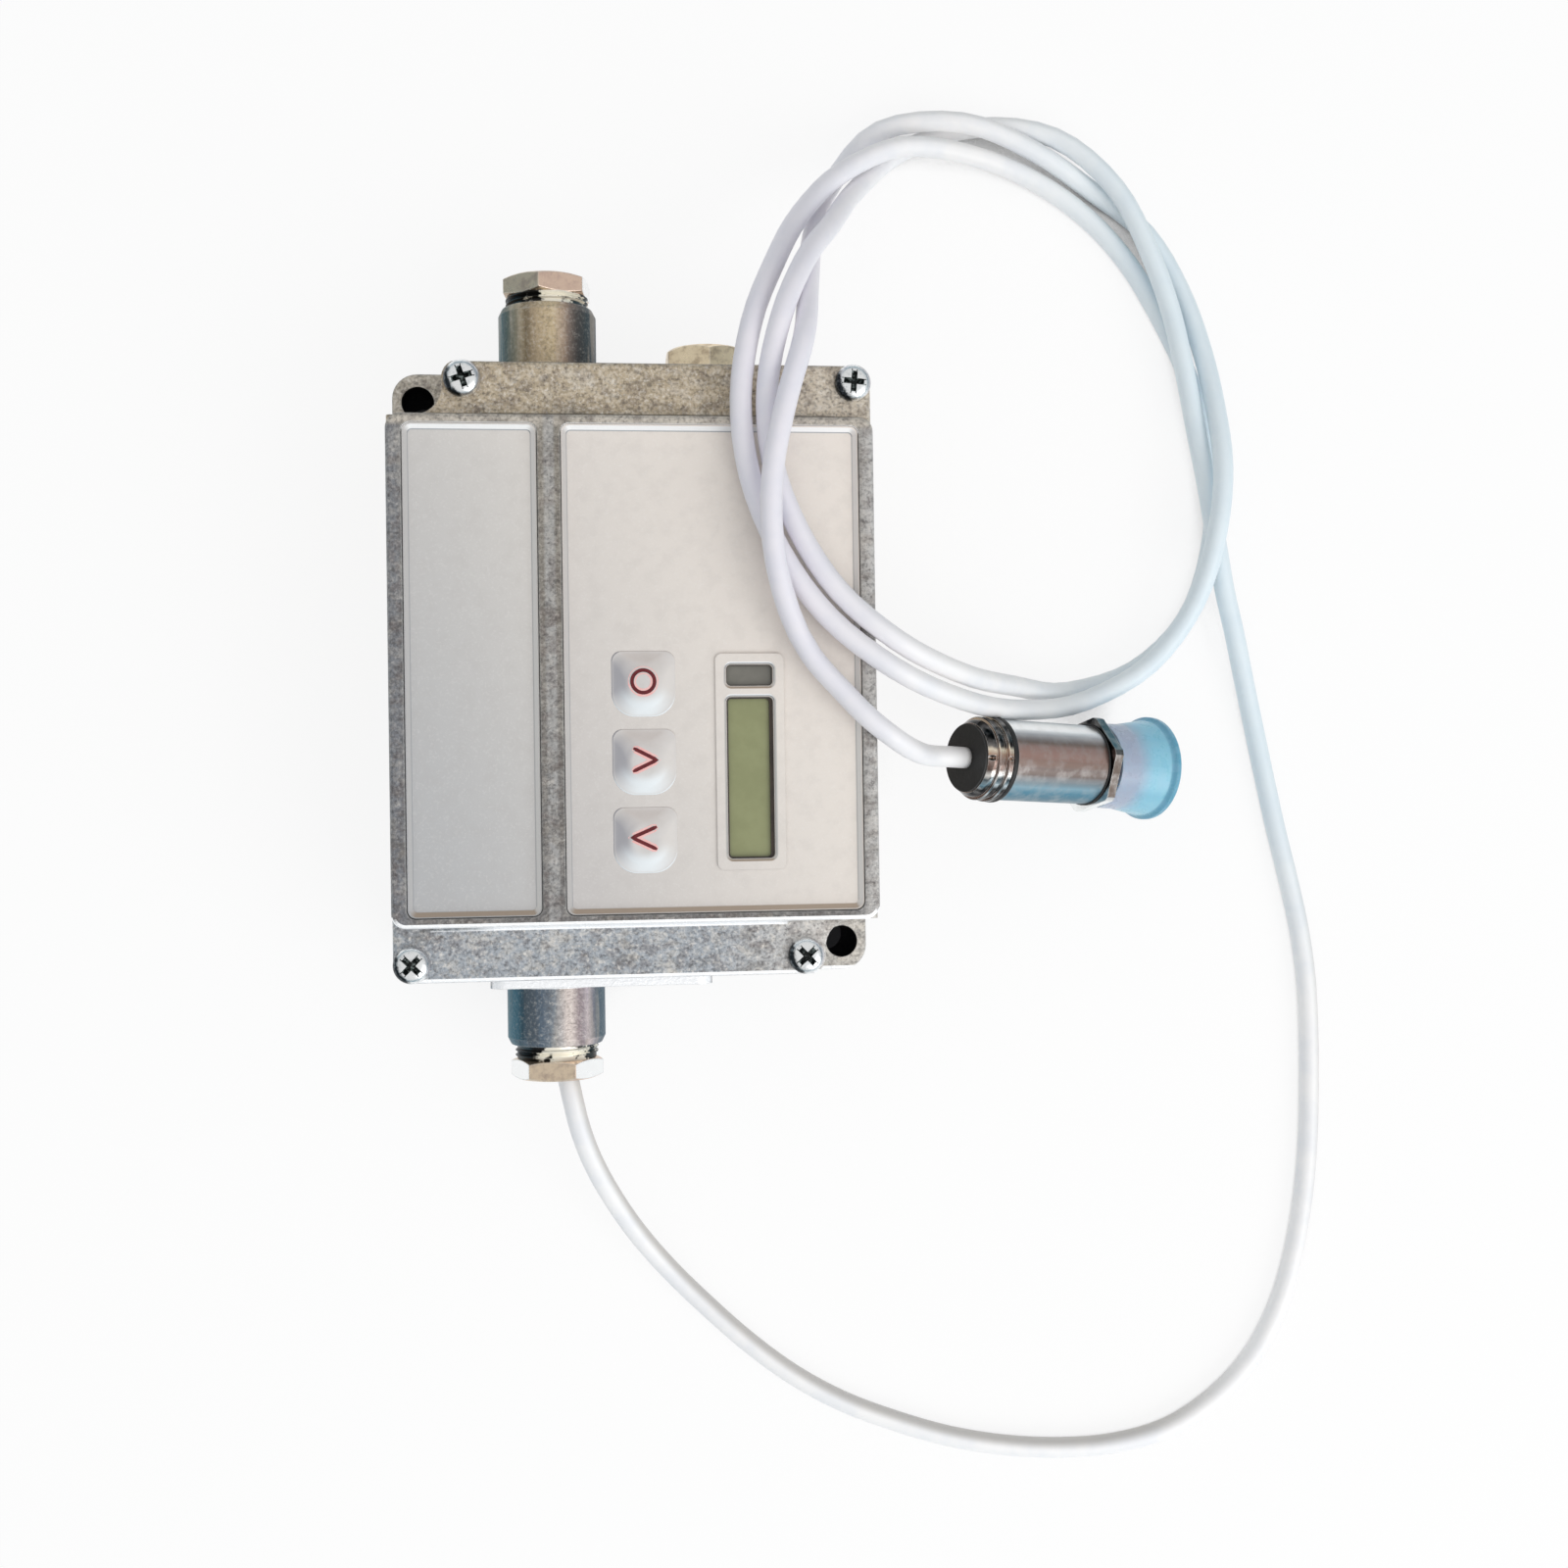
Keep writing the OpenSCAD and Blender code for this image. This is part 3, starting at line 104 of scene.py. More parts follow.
# %% The coil's lay: radius and rise, in millimetres, every COIL_STEP degrees
COIL_CENTRE = Vector((0.058, 0.041))
COIL_START = -30
COIL_STEP = 20
COIL_LAY = [
    (60, 3), (43.8, 3.8), (35.9, 3.8), (33.7, 3.8), (35.4, 3.8), (39.8, 4.2), (47.2, 2.7),
    (48.6, 0), (45.2, 0), (38.9, 3), (37.5, 5), (38, 1.8), (39.4, 0), (40.4, 0), (41.8, 0),
    (42.6, 0), (42.8, 0), (45.6, 0),
    (46.8, 0), (43.2, 0), (39, 0), (35.9, 0), (35, 0), (36.8, 0), (39.8, 0), (42.6, 2.8),
    (45.4, 5.2), (43.6, 5.2), (41.4, 3), (41.8, 0), (43.1, 0), (44.2, 0), (45.5, 0),
    (46.4, 0), (46.7, 2), (47.3, 4),
    (46.2, 4.2), (41.2, 7.6), (38.2, 7.2), (37.4, 4), (39.6, 0.9), (42.4, 0), (43.4, 0.6),
    (47.2, 4.2), (49.8, 1.5), (42.4, 0), (36.2, 0), (34.1, 2.3), (37.8, 4), (44.8, 4),
    (51.3, 0.3), (54.4, 0),
]
COIL_TURN = COIL_STEP * (len(COIL_LAY) - 3)
COIL_RINGS = COIL_TURN * 24 // 360
BOX_HALF = Vector((0.035, 0.045))
SLOPE_RUN = 0.044
REST_Z = 0.0018
BOX_TOP = 0.030


def smooth_step(t):
    """From 0 to 1, level at both ends."""
    return t * t * (3 - 2 * t)


def rest_height(x, y):
    """What the cord's centre lies at: on the rim over the box, down to the table beside it."""
    beside = Vector((max(abs(x) - BOX_HALF.x, 0), max(abs(y) - BOX_HALF.y, 0))).length
    return REST_Z + BOX_TOP * (1 - smooth_step(min(beside / SLOPE_RUN, 1)))


def between(a, b, c, d, t):
    """A smooth value between b and c, steered by a and d."""
    return (2 * b + (c - a) * t + (2 * a - 5 * b + 4 * c - d) * t * t
            + (3 * b - a - 3 * c + d) * t ** 3) / 2


def coil_point(turn):
    """The coil's centre line after that many degrees of its turns."""
    k = min(int(turn / COIL_STEP), len(COIL_LAY) - 4)
    t = turn / COIL_STEP - k
    rows = [COIL_LAY[k], COIL_LAY[k + 1], COIL_LAY[k + 2],
            COIL_LAY[min(k + 3, len(COIL_LAY) - 1)]]
    radius, rise = (between(*(row[i] for row in rows), t) * MM for i in (0, 1))
    angle = math.radians(COIL_START + turn)
    x = COIL_CENTRE.x + radius * math.cos(angle)
    y = COIL_CENTRE.y + radius * math.sin(angle)
    return Vector((x, y, rest_height(x, y) + max(rise, 0)))


coil_points = [coil_point(COIL_TURN * i / COIL_RINGS) for i in range(COIL_RINGS + 1)]
print("coil:", len(coil_points), "points in", round(COIL_TURN / 360, 2), "turns")

# %% The head's own frame, from the cap's rim back along its axis
HEAD_PITCH = math.radians(23.2)
HEAD_YAW = math.radians(-3.1)
HEAD_RIM = Vector((0.08254, -0.01492, 0.007537))
on_head = (Matrix.Translation(HEAD_RIM) @ Matrix.Rotation(HEAD_YAW, 4, "Z")
           @ Matrix.Rotation(HEAD_PITCH - math.pi / 2, 4, "Y"))
PLUG_BACK = 35.65 * MM
head_back = (on_head.to_3x3() @ Vector((0, 0, 1))).normalized()
print("the head points back along", [round(x, 3) for x in head_back])

# %% The cord's centre line
route = [CORD_EXIT, *(Vector(spot) * MM for spot in LEAD_ROUTE), *coil_points,
         *(Vector(spot) * MM for spot in TAIL_ROUTE),
         *(HEAD_RIM + head_back * (PLUG_BACK + k * CORD_D) for k in (2, 1, 0))]
STEPS = 4


def headings(points):
    """The line's direction at each point: the nearer neighbour counts for more."""
    runs = [b - a for a, b in zip(points, points[1:])]
    runs = [runs[0]] + runs + [runs[-1]]
    return [(a / a.length * b.length + b / b.length * a.length) / (a.length + b.length)
            for a, b in zip(runs, runs[1:])]


def rounded_route(points, steps):
    """A smooth line through the points, which never dips under the table's rest height."""
    line, aims = [], headings(points)
    for i, (a, b) in enumerate(zip(points, points[1:])):
        far = (b - a).length
        for k in range(steps):
            t = k / steps
            spot = (a * (1 + 2 * t) * (1 - t) ** 2 + aims[i] * far * t * (1 - t) ** 2
                    + b * t * t * (3 - 2 * t) + aims[i + 1] * far * t * t * (t - 1))
            line.append(Vector((spot.x, spot.y, max(spot.z, REST_Z))))
    return line + [points[-1]]


centre_line = rounded_route(route, STEPS)
cord_length = sum((b - a).length for a, b in zip(centre_line, centre_line[1:]))
print("cord", round(cord_length, 4), "m long,", len(centre_line), "points")


# %% The cord as a tube
def mesh_object(name, verts, faces, smooth=True):
    """An object from points and faces, linked to the scene."""
    mesh = bpy.data.meshes.new(name)
    mesh.from_pydata([tuple(v) for v in verts], [], faces)
    mesh.validate()
    for face in mesh.polygons:
        face.use_smooth = smooth
    made = bpy.data.objects.new(name, mesh)
    bpy.context.scene.collection.objects.link(made)
    return made


def bands(count, rows, closed=False):
    """Faces between rows of points that follow one another, each row a ring of that count."""
    steps = list(zip(range(rows), range(1, rows))) + ([(rows - 1, 0)] if closed else [])
    return [(count * r + k, count * r + (k + 1) % count, count * s + (k + 1) % count, count * s + k)
            for r, s in steps for k in range(count)]


def tube(name, line, radius, sides):
    """A closed round tube whose rings turn with the line and never twist."""
    verts = []
    out = (line[1] - line[0]).normalized().orthogonal().normalized()
    for i, spot in enumerate(line):
        run = (line[min(i + 1, len(line) - 1)] - line[max(i - 1, 0)]).normalized()
        out = (out - run * out.dot(run)).normalized()
        side = run.cross(out)
        verts += [spot + (out * math.cos(a) + side * math.sin(a)) * radius
                  for a in (2 * math.pi * k / sides for k in range(sides))]
    ends = [tuple(reversed(range(sides))), tuple(range(len(verts) - sides, len(verts)))]
    return mesh_object(name, verts, bands(sides, len(line)) + ends)


cord = tube("cord", centre_line, CORD_D / 2, 20)
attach(cord, BOX)
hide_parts("cord_lead", "cord_coil", "cord_tail")
print("cord:", len(cord.data.polygons), "faces")

# %% [markdown]
# ## The studio
# The object lies on a plain white floor under a wide soft sky, with one large lamp from the
# right and from below. The sky is pale overhead and a darker teal at the horizon, because metal
# needs something darker to mirror, or it looks like paint. The camera itself sees it white. The
# floor too is shown nearly white to the camera and to reflections, which costs no extra light on
# the object, and keeps a soft shadow. Under the casting's holes an occlusion node paints shade on
# the floor, which stays dark there.


# %% Colours and node helpers
def tint(red, green, blue, alpha=1.0):
    """A colour as it is read off a screen, from 0 to 255, made linear for the shaders."""
    def linear(level):
        share = level / 255
        return share / 12.92 if share <= 0.04045 else ((share + 0.055) / 1.055) ** 2.4
    return (linear(red), linear(green), linear(blue), alpha)


def plug(socket, value):
    """Links a wire to a socket, or sets a plain value on it."""
    if isinstance(value, Wire):
        socket.id_data.links.new(value.socket, socket)
    else:
        socket.default_value = value


class Wire:
    """One output of a node. Sums and products of wires add their Math nodes."""

    def __init__(self, socket):
        self.socket = socket

    def maths(self, operation, *terms):
        node = self.socket.id_data.nodes.new("ShaderNodeMath")
        node.operation = operation
        for place, term in zip(node.inputs, terms):
            plug(place, term)
        return Wire(node.outputs[0])

    def __add__(self, other):
        return self.maths("ADD", self, other)

    def __sub__(self, other):
        return self.maths("SUBTRACT", self, other)

    def __rsub__(self, other):
        return self.maths("SUBTRACT", other, self)

    def __mul__(self, other):
        return self.maths("MULTIPLY", self, other)

    def __abs__(self):
        return self.maths("ABSOLUTE", self)

    __radd__ = __add__
    __rmul__ = __mul__

    def span(self, low, high):
        """0 below low, 1 above high, and smooth between."""
        return Shader(self.socket.id_data).node(
            "ShaderNodeMapRange", {"interpolation_type": "SMOOTHSTEP"},
            {"Value": self, "From Min": low, "From Max": high})


class Shader:
    """A node tree in the making, and the one way to add a node to it."""

    def __init__(self, tree):
        self.tree = tree

    def node(self, kind, settings=None, inputs=None, output=0):
        made = self.tree.nodes.new(kind)
        for name, value in (settings or {}).items():
            if name == "stops":
                ramp = made.color_ramp.elements
                while len(ramp) < len(value):
                    ramp.new(0.5)
                for stop, (place, colour) in zip(ramp, value):
                    stop.position, stop.color = place, tint(*colour)
            else:
                setattr(made, name, value)
        for name, value in (inputs or {}).items():
            plug(made.inputs[name], value)
        return Wire(made.outputs[output]) if made.outputs else None

    def blend(self, share, first, second):
        """From the first colour at 0 to the second at 1."""
        return self.node("ShaderNodeMix", {"data_type": "RGBA"}, {0: share, 6: first, 7: second}, 2)


print("a mid grey of 128 is", round(tint(128, 128, 128)[0], 3), "in linear light")

# %% The sky, paler overhead
SKY_STRENGTH = 0.85
sky = bpy.data.worlds.new("sky")
bpy.context.scene.world = sky
sky.use_nodes = True
over = Shader(sky.node_tree)
direction = over.node("ShaderNodeTexCoord")
height = over.node("ShaderNodeSeparateXYZ", inputs={0: direction}, output=2)
sky_colour = over.blend(height.span(0.05, 0.62), tint(104, 142, 158), tint(244, 243, 242))
to_the_eye = over.node("ShaderNodeLightPath", output="Is Camera Ray")
white_sky = (1 / SKY_STRENGTH,) * 3 + (1,)
background = sky.node_tree.nodes["Background"].inputs
plug(background["Color"], over.blend(to_the_eye, sky_colour, white_sky))
plug(background["Strength"], SKY_STRENGTH)
print("sky strength", SKY_STRENGTH)


# %% The floor, white to the eye
def make_floor(half):
    """A plain square floor that shows white and keeps a soft shadow."""
    mesh = bpy.data.meshes.new("floor")
    mesh.from_pydata([(-half, -half, 0), (half, -half, 0), (half, half, 0), (-half, half, 0)],
                     [], [(0, 1, 2, 3)])
    floor = bpy.data.objects.new("floor", mesh)
    bpy.context.scene.collection.objects.link(floor)
    paint = bpy.data.materials.new("floor")
    paint.use_nodes = True
    paint.node_tree.nodes.clear()
    on = Shader(paint.node_tree)
    matt = on.node("ShaderNodeBsdfDiffuse", inputs={"Color": tint(250, 250, 250)})
    hollow = on.node("ShaderNodeAmbientOcclusion", {"samples": 8}, {"Distance": 0.02}, "AO")
    # painted shade: where occlusion is deep, under the casting's holes, the floor's glow turns dark
    glow = on.node("ShaderNodeEmission", inputs={
        "Color": on.blend(hollow.span(0.10, 0.34), (0.004, 0.004, 0.005, 1), (1, 1, 1, 1)),
        "Strength": 1.0})
    rays = [on.node("ShaderNodeLightPath", output=name)
            for name in ("Is Camera Ray", "Is Glossy Ray", "Is Transmission Ray")]
    seen = (rays[0] + rays[1] + rays[2]) * 0.85
    on.node("ShaderNodeOutputMaterial",
            inputs={0: on.node("ShaderNodeMixShader", inputs={0: seen, 1: matt, 2: glow})})
    mesh.materials.append(paint)


FLOOR_HALF = 2.5
make_floor(FLOOR_HALF)
print("floor laid,", 2 * FLOOR_HALF, "m wide")


# %% The lamps
LAMP_AIM = Vector((0.03, -0.01, 0))


def add_lamp(name, place, size, power):
    """A square soft lamp that looks at the middle of the object."""
    lamp = bpy.data.lights.new(name, "AREA")
    lamp.size = size
    lamp.energy = power
    holder = bpy.data.objects.new(name, lamp)
    holder.location = place
    holder.rotation_euler = (LAMP_AIM - Vector(place)).to_track_quat("-Z", "Y").to_euler()
    bpy.context.scene.collection.objects.link(holder)


add_lamp("window_light", (0.55, -0.50, 0.55), 0.7, 3.4)
bpy.context.scene.view_settings.view_transform = "Standard"
print("one lamp, and the sky")

# %% [markdown]
# ## Finishes
# A finish is a node tree on the Principled shader. Its colour and roughness vary over the
# surface with noise in real sizes: the object's own coordinates are metres, so a noise of
# scale 1500 has grains of two thirds of a millimetre on every piece. Bump makes the grain catch
# the light. A Bevel node looks at how fast the surface turns nearby, which tells edges from
# flat faces: it softens the edges' shading, and the edges are painted lighter, both for polish
# from handling and as a painted highlight. Many finishes also paint light, shade and reflections
# into their colour by the direction a face looks.


# %% A finish in the making
class Finish(Shader):
    """A material, its Principled shader, its colour so far and what that is worked out from."""

    def __init__(self, name):
        self.shade = None
        self.material = bpy.data.materials.new(name)
        self.material.use_nodes = True
        super().__init__(self.material.node_tree)
        self.skin = self.tree.nodes["Principled BSDF"]
        self.place = self.node("ShaderNodeTexCoord", output="Object")
        self.facing = self.node("ShaderNodeTexCoord", output="Normal")

    def part(self, vector, axis):
        """One axis of a vector, 0 to 2."""
        return self.node("ShaderNodeSeparateXYZ", inputs={0: vector}, output=axis)

    def stretched(self, scales):
        """The object's coordinates, drawn out along the axes with a scale under 1."""
        return self.node("ShaderNodeVectorMath", {"operation": "MULTIPLY"},
                         {0: self.place, 1: scales})

    def grain(self, scale, detail=3.0, roughness=0.6, place=None):
        """Noise around one half, with that many grains to the metre."""
        return self.node("ShaderNodeTexNoise", inputs={
            "Vector": place or self.place, "Scale": scale, "Detail": detail,
            "Roughness": roughness})

    def dot(self, vector, other):
        """The dot product of two vectors."""
        return self.node("ShaderNodeVectorMath", {"operation": "DOT_PRODUCT"},
                         {0: vector, 1: other}, "Value")

    def soft_edges(self, radius):
        """The surface's direction with its edges rounded."""
        return self.node("ShaderNodeBevel", {"samples": 4}, {"Radius": radius})

    def edges(self, radius):
        """1 along edges, 0 on flat faces."""
        flat = self.node("ShaderNodeNewGeometry", output="Normal")
        return (1 - self.dot(self.soft_edges(radius), flat)).span(0.01, 0.12)

    def mottle(self, share, first, second):
        """Starts the colour: from the first at 0 to the second at 1."""
        self.shade = self.blend(share, tint(*first), tint(*second))

    def layer(self, share, *colour):
        """Lays a colour over what is there, as thick as the share says."""
        self.shade = self.blend(share, self.shade, tint(*colour))

    def bump(self, height, depth, under=None):
        """The surface's direction with that height on it, depth metres deep."""
        sockets = {"Height": height, "Distance": depth}
        if under is not None:
            sockets["Normal"] = under
        return self.node("ShaderNodeBump", inputs=sockets)

    def done(self, **sockets):
        """Sets the Principled shader's sockets, named with underscores for spaces."""
        for name, value in {"Base Color": self.shade, **sockets}.items():
            plug(self.skin.inputs[name.replace("_", " ")], value)
        return self.material


def dress(finish, *names):
    """Gives nodes of the frame a finish."""
    for name in names:
        nodes[name].data.materials.clear()
        nodes[name].data.materials.append(finish)
    print(finish.name, "on", ", ".join(names))


# %% [markdown]
# ## Cast zinc
# Base and cover are die-cast zinc, left raw. The metal is grey with a sandy grain and a painted
# reflection, warm towards the supply end and colder at the other. The cast sockets carry painted
# reflections, darker and bluish at their flanks. Faces towards the lamp get painted highlights
# and faces away painted shade. One tree makes all of it, so that the painted reflection runs on
# from piece to piece.


# %% Cast zinc
SUPPLY_SOCKET_REFLECTIONS = [
    (0.0, (36, 98, 114)), (0.09, (58, 84, 82)), (0.175, (140, 136, 118)),
    (0.24, (176, 160, 134)), (0.285, (136, 120, 92)), (0.36, (188, 168, 138)),
    (0.56, (212, 192, 156)), (0.65, (176, 150, 126)), (0.72, (146, 130, 120)),
    (0.8, (80, 80, 80)), (0.9, (44, 62, 68)), (1.0, (26, 56, 68))]
CORD_SOCKET_REFLECTIONS = [
    (0.0, (30, 104, 124)), (0.1, (44, 100, 120)), (0.16, (44, 78, 94)),
    (0.2, (78, 102, 118)), (0.36, (98, 114, 130)), (0.48, (140, 148, 156)),
    (0.6, (214, 202, 196)), (0.65, (210, 198, 192)), (0.72, (154, 140, 142)),
    (0.77, (158, 146, 150)), (0.81, (194, 182, 190)), (0.87, (120, 122, 134)),
    (0.91, (80, 98, 110)), (1.0, (36, 80, 100))]
HOLE_PLACE, HOLE_R = Vector((0.03125, 0.04075)), 0.0024
BLACK, WHITE = (0, 0, 0, 1), (1, 1, 1, 1)


def cast_zinc():
    """Die-cast zinc. Its numbers are places in the box, in metres, and where noise starts."""
    zinc = Finish("cast_zinc")
    across, along, level = (zinc.part(zinc.place, axis) for axis in range(3))
    lean_x, lean_y, lean_z = (zinc.part(zinc.facing, axis) for axis in range(3))
    warm_reflection = along.span(-0.044, 0.044)
    rim = level.span(0.0284, 0.0296)
    # the rim's colours first: a bluish painted shade on its left side, painted light on its right
    # side, and paler at its far end and along the middle rib
    zinc.mottle(warm_reflection, (126, 124, 124), (150, 144, 134))
    zinc.layer(across.span(-0.031, -0.034) * 0.8, 128, 132, 140)
    zinc.layer(across.span(0.031, 0.0345), 196, 194, 192)
    zinc.layer(along.span(0.0345, 0.0354), 206, 198, 186)
    zinc.layer(abs(across + 0.01205).span(0.0010, 0.0005) * 0.6, 190, 190, 190)
    rim_metal = zinc.shade
    # the rest: a painted reflection, warm at the supply end, and painted light, paler on the right
    # towards the lamp
    zinc.mottle(warm_reflection, (172, 179, 187), (198, 182, 156))
    zinc.layer(across.span(0.008, 0.034) * (0.75 - warm_reflection * 0.4), 240, 232, 222)
    zinc.shade = zinc.blend(rim, zinc.shade, rim_metal)
    # the lowered ears' upward faces are greyer
    ear = level.span(0.0172, 0.0166) * level.span(0.0154, 0.0160)
    zinc.layer(ear * lean_z.span(0.5, 0.8) * 0.6, 186, 184, 178)
    # the sockets: painted reflections in columns of light and dark along the axis, teal at both flanks
    socket = abs(along).span(0.0455, 0.0462)
    lean = lean_x * 0.5 + 0.5
    supply_reflections, cord_reflections = (
        zinc.node("ShaderNodeValToRGB", {"stops": stops}, {"Fac": lean})
        for stops in (SUPPLY_SOCKET_REFLECTIONS, CORD_SOCKET_REFLECTIONS))
    zinc.shade = zinc.blend(socket, zinc.shade,
                            zinc.blend(along.span(-0.01, 0.01), cord_reflections, supply_reflections))
    columns = zinc.grain(420, 3.0, 0.6, zinc.stretched((1.0, 0.06, 0.5)))
    zinc.layer(columns.span(0.5, 0.36) * socket * 0.3, 86, 76, 68)
    zinc.layer(columns.span(0.52, 0.64) * socket * 0.3, 222, 206, 188)
    # the flats: clouds, blots, faint streaks and a sandy grain, with pale and dark sides
    clouds = zinc.grain(230, 4.0, 0.7, zinc.stretched((0.6, 1.0, 1.0)))
    blots = zinc.grain(560, 2.0, 0.5)
    streaks = zinc.grain(1100, 3.0, 0.6, zinc.stretched((0.4, 1.0, 1.0)))
    coarse = zinc.grain(1250, 3.0, 0.7)
    sand = zinc.grain(2100, 2.0, 0.6)
    fine = zinc.grain(3000, 2.0)
    flat = 1 - socket
    calm = 1 - rim * 0.55
    rough = 1 - socket * (0.3 + abs(lean_x) * 0.6)
    zinc.layer(clouds.span(0.5, 0.34) * flat * 0.5, 116, 108, 100)
    zinc.layer(clouds.span(0.52, 0.68) * flat * calm * 0.5, 226, 218, 206)
    zinc.layer(blots.span(0.48, 0.36) * flat * 0.35, 120, 108, 104)
    zinc.layer(blots.span(0.54, 0.66) * flat * calm * 0.3, 232, 224, 212)
    zinc.layer(streaks.span(0.46, 0.34) * flat * 0.25, 88, 84, 82)
    zinc.layer(coarse.span(0.47, 0.35) * rough * 0.45, 70, 68, 68)
    zinc.layer(coarse.span(0.56, 0.68) * calm * rough * 0.5, 244, 238, 230)
    zinc.layer(sand.span(0.49, 0.34) * rough * 0.36, 76, 72, 72)
    zinc.layer(sand.span(0.51, 0.66) * calm * rough * 0.28, 246, 242, 236)
    # the step under the rim and the base's ledge get a painted white highlight, and faces away from
    # the lamp get painted shade
    foot = level.span(0.0288, 0.0286) * level.span(0.02795, 0.0281)
    fade = 1 - foot * abs(across).span(0.019, 0.0262)
    painted_highlight = lean_y.span(-0.08, -0.32) * flat * fade * level.span(0.0274, 0.0278)
    zinc.layer(painted_highlight, 252, 253, 255)
    # painted highlight: the sockets' faces that look towards the lamp are white
    zinc.layer(lean_y.span(-0.8, -0.95) * socket * 0.9, 248, 250, 252)
    # painted highlight: the pad's top shelf is white, and glows a little below
    shelf = along.span(-0.04442, -0.04452) * along.span(-0.0464, -0.0463)
    shelf = shelf * lean_z.span(0.3, 0.6)
    zinc.layer(shelf, 252, 253, 255)
    # painted shade on faces away from the lamp
    zinc.layer(lean_y.span(0.3, 0.7) * flat * 0.7, 84, 74, 64)
    # edges painted lighter: polish, and a painted highlight
    zinc.layer(zinc.edges(0.00035) * 0.45, 224, 224, 222)
    # the wall holes see no light
    end = along.span(-0.01, 0.01) * 2 - 1
    off_x, off_y = across * end + HOLE_PLACE.x, abs(along) - HOLE_PLACE.y
    hole = (off_x * off_x + off_y * off_y).span(HOLE_R ** 2 * 1.03, HOLE_R ** 2 * 1.01)
    zinc.layer(hole * lean_z.span(0.3, 0.1), 10, 11, 12)
    # a faint painted glow on the painted highlights
    painted_glow = zinc.blend((painted_highlight + shelf) * (1 - hole) * 0.16, BLACK, WHITE)
    plug(zinc.skin.inputs["Emission Strength"], 1.0)
    return zinc.done(Emission_Color=painted_glow, Metallic=0.45, Roughness=0.32 + coarse * 0.24,
                     Normal=zinc.bump(coarse * 0.6 + fine * 0.4, 0.00018, zinc.soft_edges(0.00035)))


dress(cast_zinc(), "base_housing", "cover")

# %% [markdown]
# ## Zinc plating and screws
# The four cover screws are bright zinc-plated steel pan heads with a cross recess. The frame's
# screws stand in for them, and are replaced by turned heads: an outline spun round the axis gives
# the pan, and a tapered cross is cut out of it. A subdivided cube would need more care for a
# worse circle. Plating is nearly a mirror, with a faint brushed haze.


# %% Mesh helpers
def spun(name, outline, sides=64, ring=False):
    """A turned piece: pairs of radius and height, spun round the Z axis. A ring's outline closes."""
    verts, faces, rings = [], [], []
    for radius, z in outline:
        count = sides if radius > 0 else 1
        rings.append(list(range(len(verts), len(verts) + count)))
        verts += [(radius * math.cos(a), radius * math.sin(a), z)
                  for a in (2 * math.pi * k / count for k in range(count))]
    for low, high in zip(rings, rings[1:] + (rings[:1] if ring else [])):
        for k in range(sides):
            n = (k + 1) % sides
            quad = [low[k % len(low)], low[n % len(low)], high[n % len(high)], high[k % len(high)]]
            corners = list(dict.fromkeys(quad))
            if len(corners) > 2:
                faces.append(corners)
    return mesh_object(name, verts, faces)


def apply_modifiers(piece):
    """Turns a piece's modifiers into its mesh."""
    graph = bpy.context.evaluated_depsgraph_get()
    old, piece.data = piece.data, bpy.data.meshes.new_from_object(piece.evaluated_get(graph))
    piece.modifiers.clear()
    bpy.data.meshes.remove(old)


def combine(piece, tool, operation="DIFFERENCE"):
    """Cuts a piece with another, or keeps what both share, and deletes the tool."""
    bpy.context.view_layer.update()
    step = piece.modifiers.new("combine", "BOOLEAN")
    step.operation, step.object, step.solver = operation, tool, "EXACT"
    apply_modifiers(piece)
    bpy.data.objects.remove(tool)


def join(name, pieces):
    """Joins pieces into one object with that name."""
    with bpy.context.temp_override(active_object=pieces[0], selected_editable_objects=pieces,
                                   object=pieces[0], selected_objects=pieces):
        bpy.ops.object.join()
    pieces[0].name = name
    return pieces[0]


def round_edges(piece, width, angle=35):
    """A small real round on every edge sharper than that many degrees."""
    step = piece.modifiers.new("round", "BEVEL")
    step.width, step.segments = width, 2
    step.limit_method, step.angle_limit = "ANGLE", math.radians(angle)
    step.harden_normals = True


print("mesh helpers ready")


# %% Cover screws
def screw_plating():
    """The heads' plating, with a painted reflection: a dark crescent on one side of each round head,
    mauve-grey on the other.
    """
    plate = Finish("screw_head_zinc")
    lean_x, lean_y = (plate.part(plate.facing, axis) for axis in (0, 1))
    cloud = plate.grain(1400, 3.0)
    side = lean_x * 0.9 + lean_y * 0.35 + (cloud - 0.5) * 0.5
    plate.mottle(side.span(-0.26, -0.5), (240, 242, 243), (46, 50, 54))
    plate.layer(side.span(0.35, 0.6) * 0.45, 150, 142, 150)
    plate.layer(cloud.span(0.5, 0.64) * 0.35, 164, 172, 178)
    return plate.done(Metallic=0.9, Roughness=0.2 + cloud * 0.16,
                      Normal=plate.bump(cloud, 0.00002))


def dark_recess():
    """The faces of the cross, which see little light."""
    recess = Finish("recess_shade")
    cloud = recess.grain(1500, 2.0)
    recess.mottle(cloud.span(0.5, 0.6), (14, 20, 20), (150, 162, 160))
    return recess.done(Metallic=0.4, Roughness=0.4 + cloud * 0.2, Normal=recess.bump(cloud, 0.00002))


screw_zinc, recess_shade = screw_plating(), dark_recess()


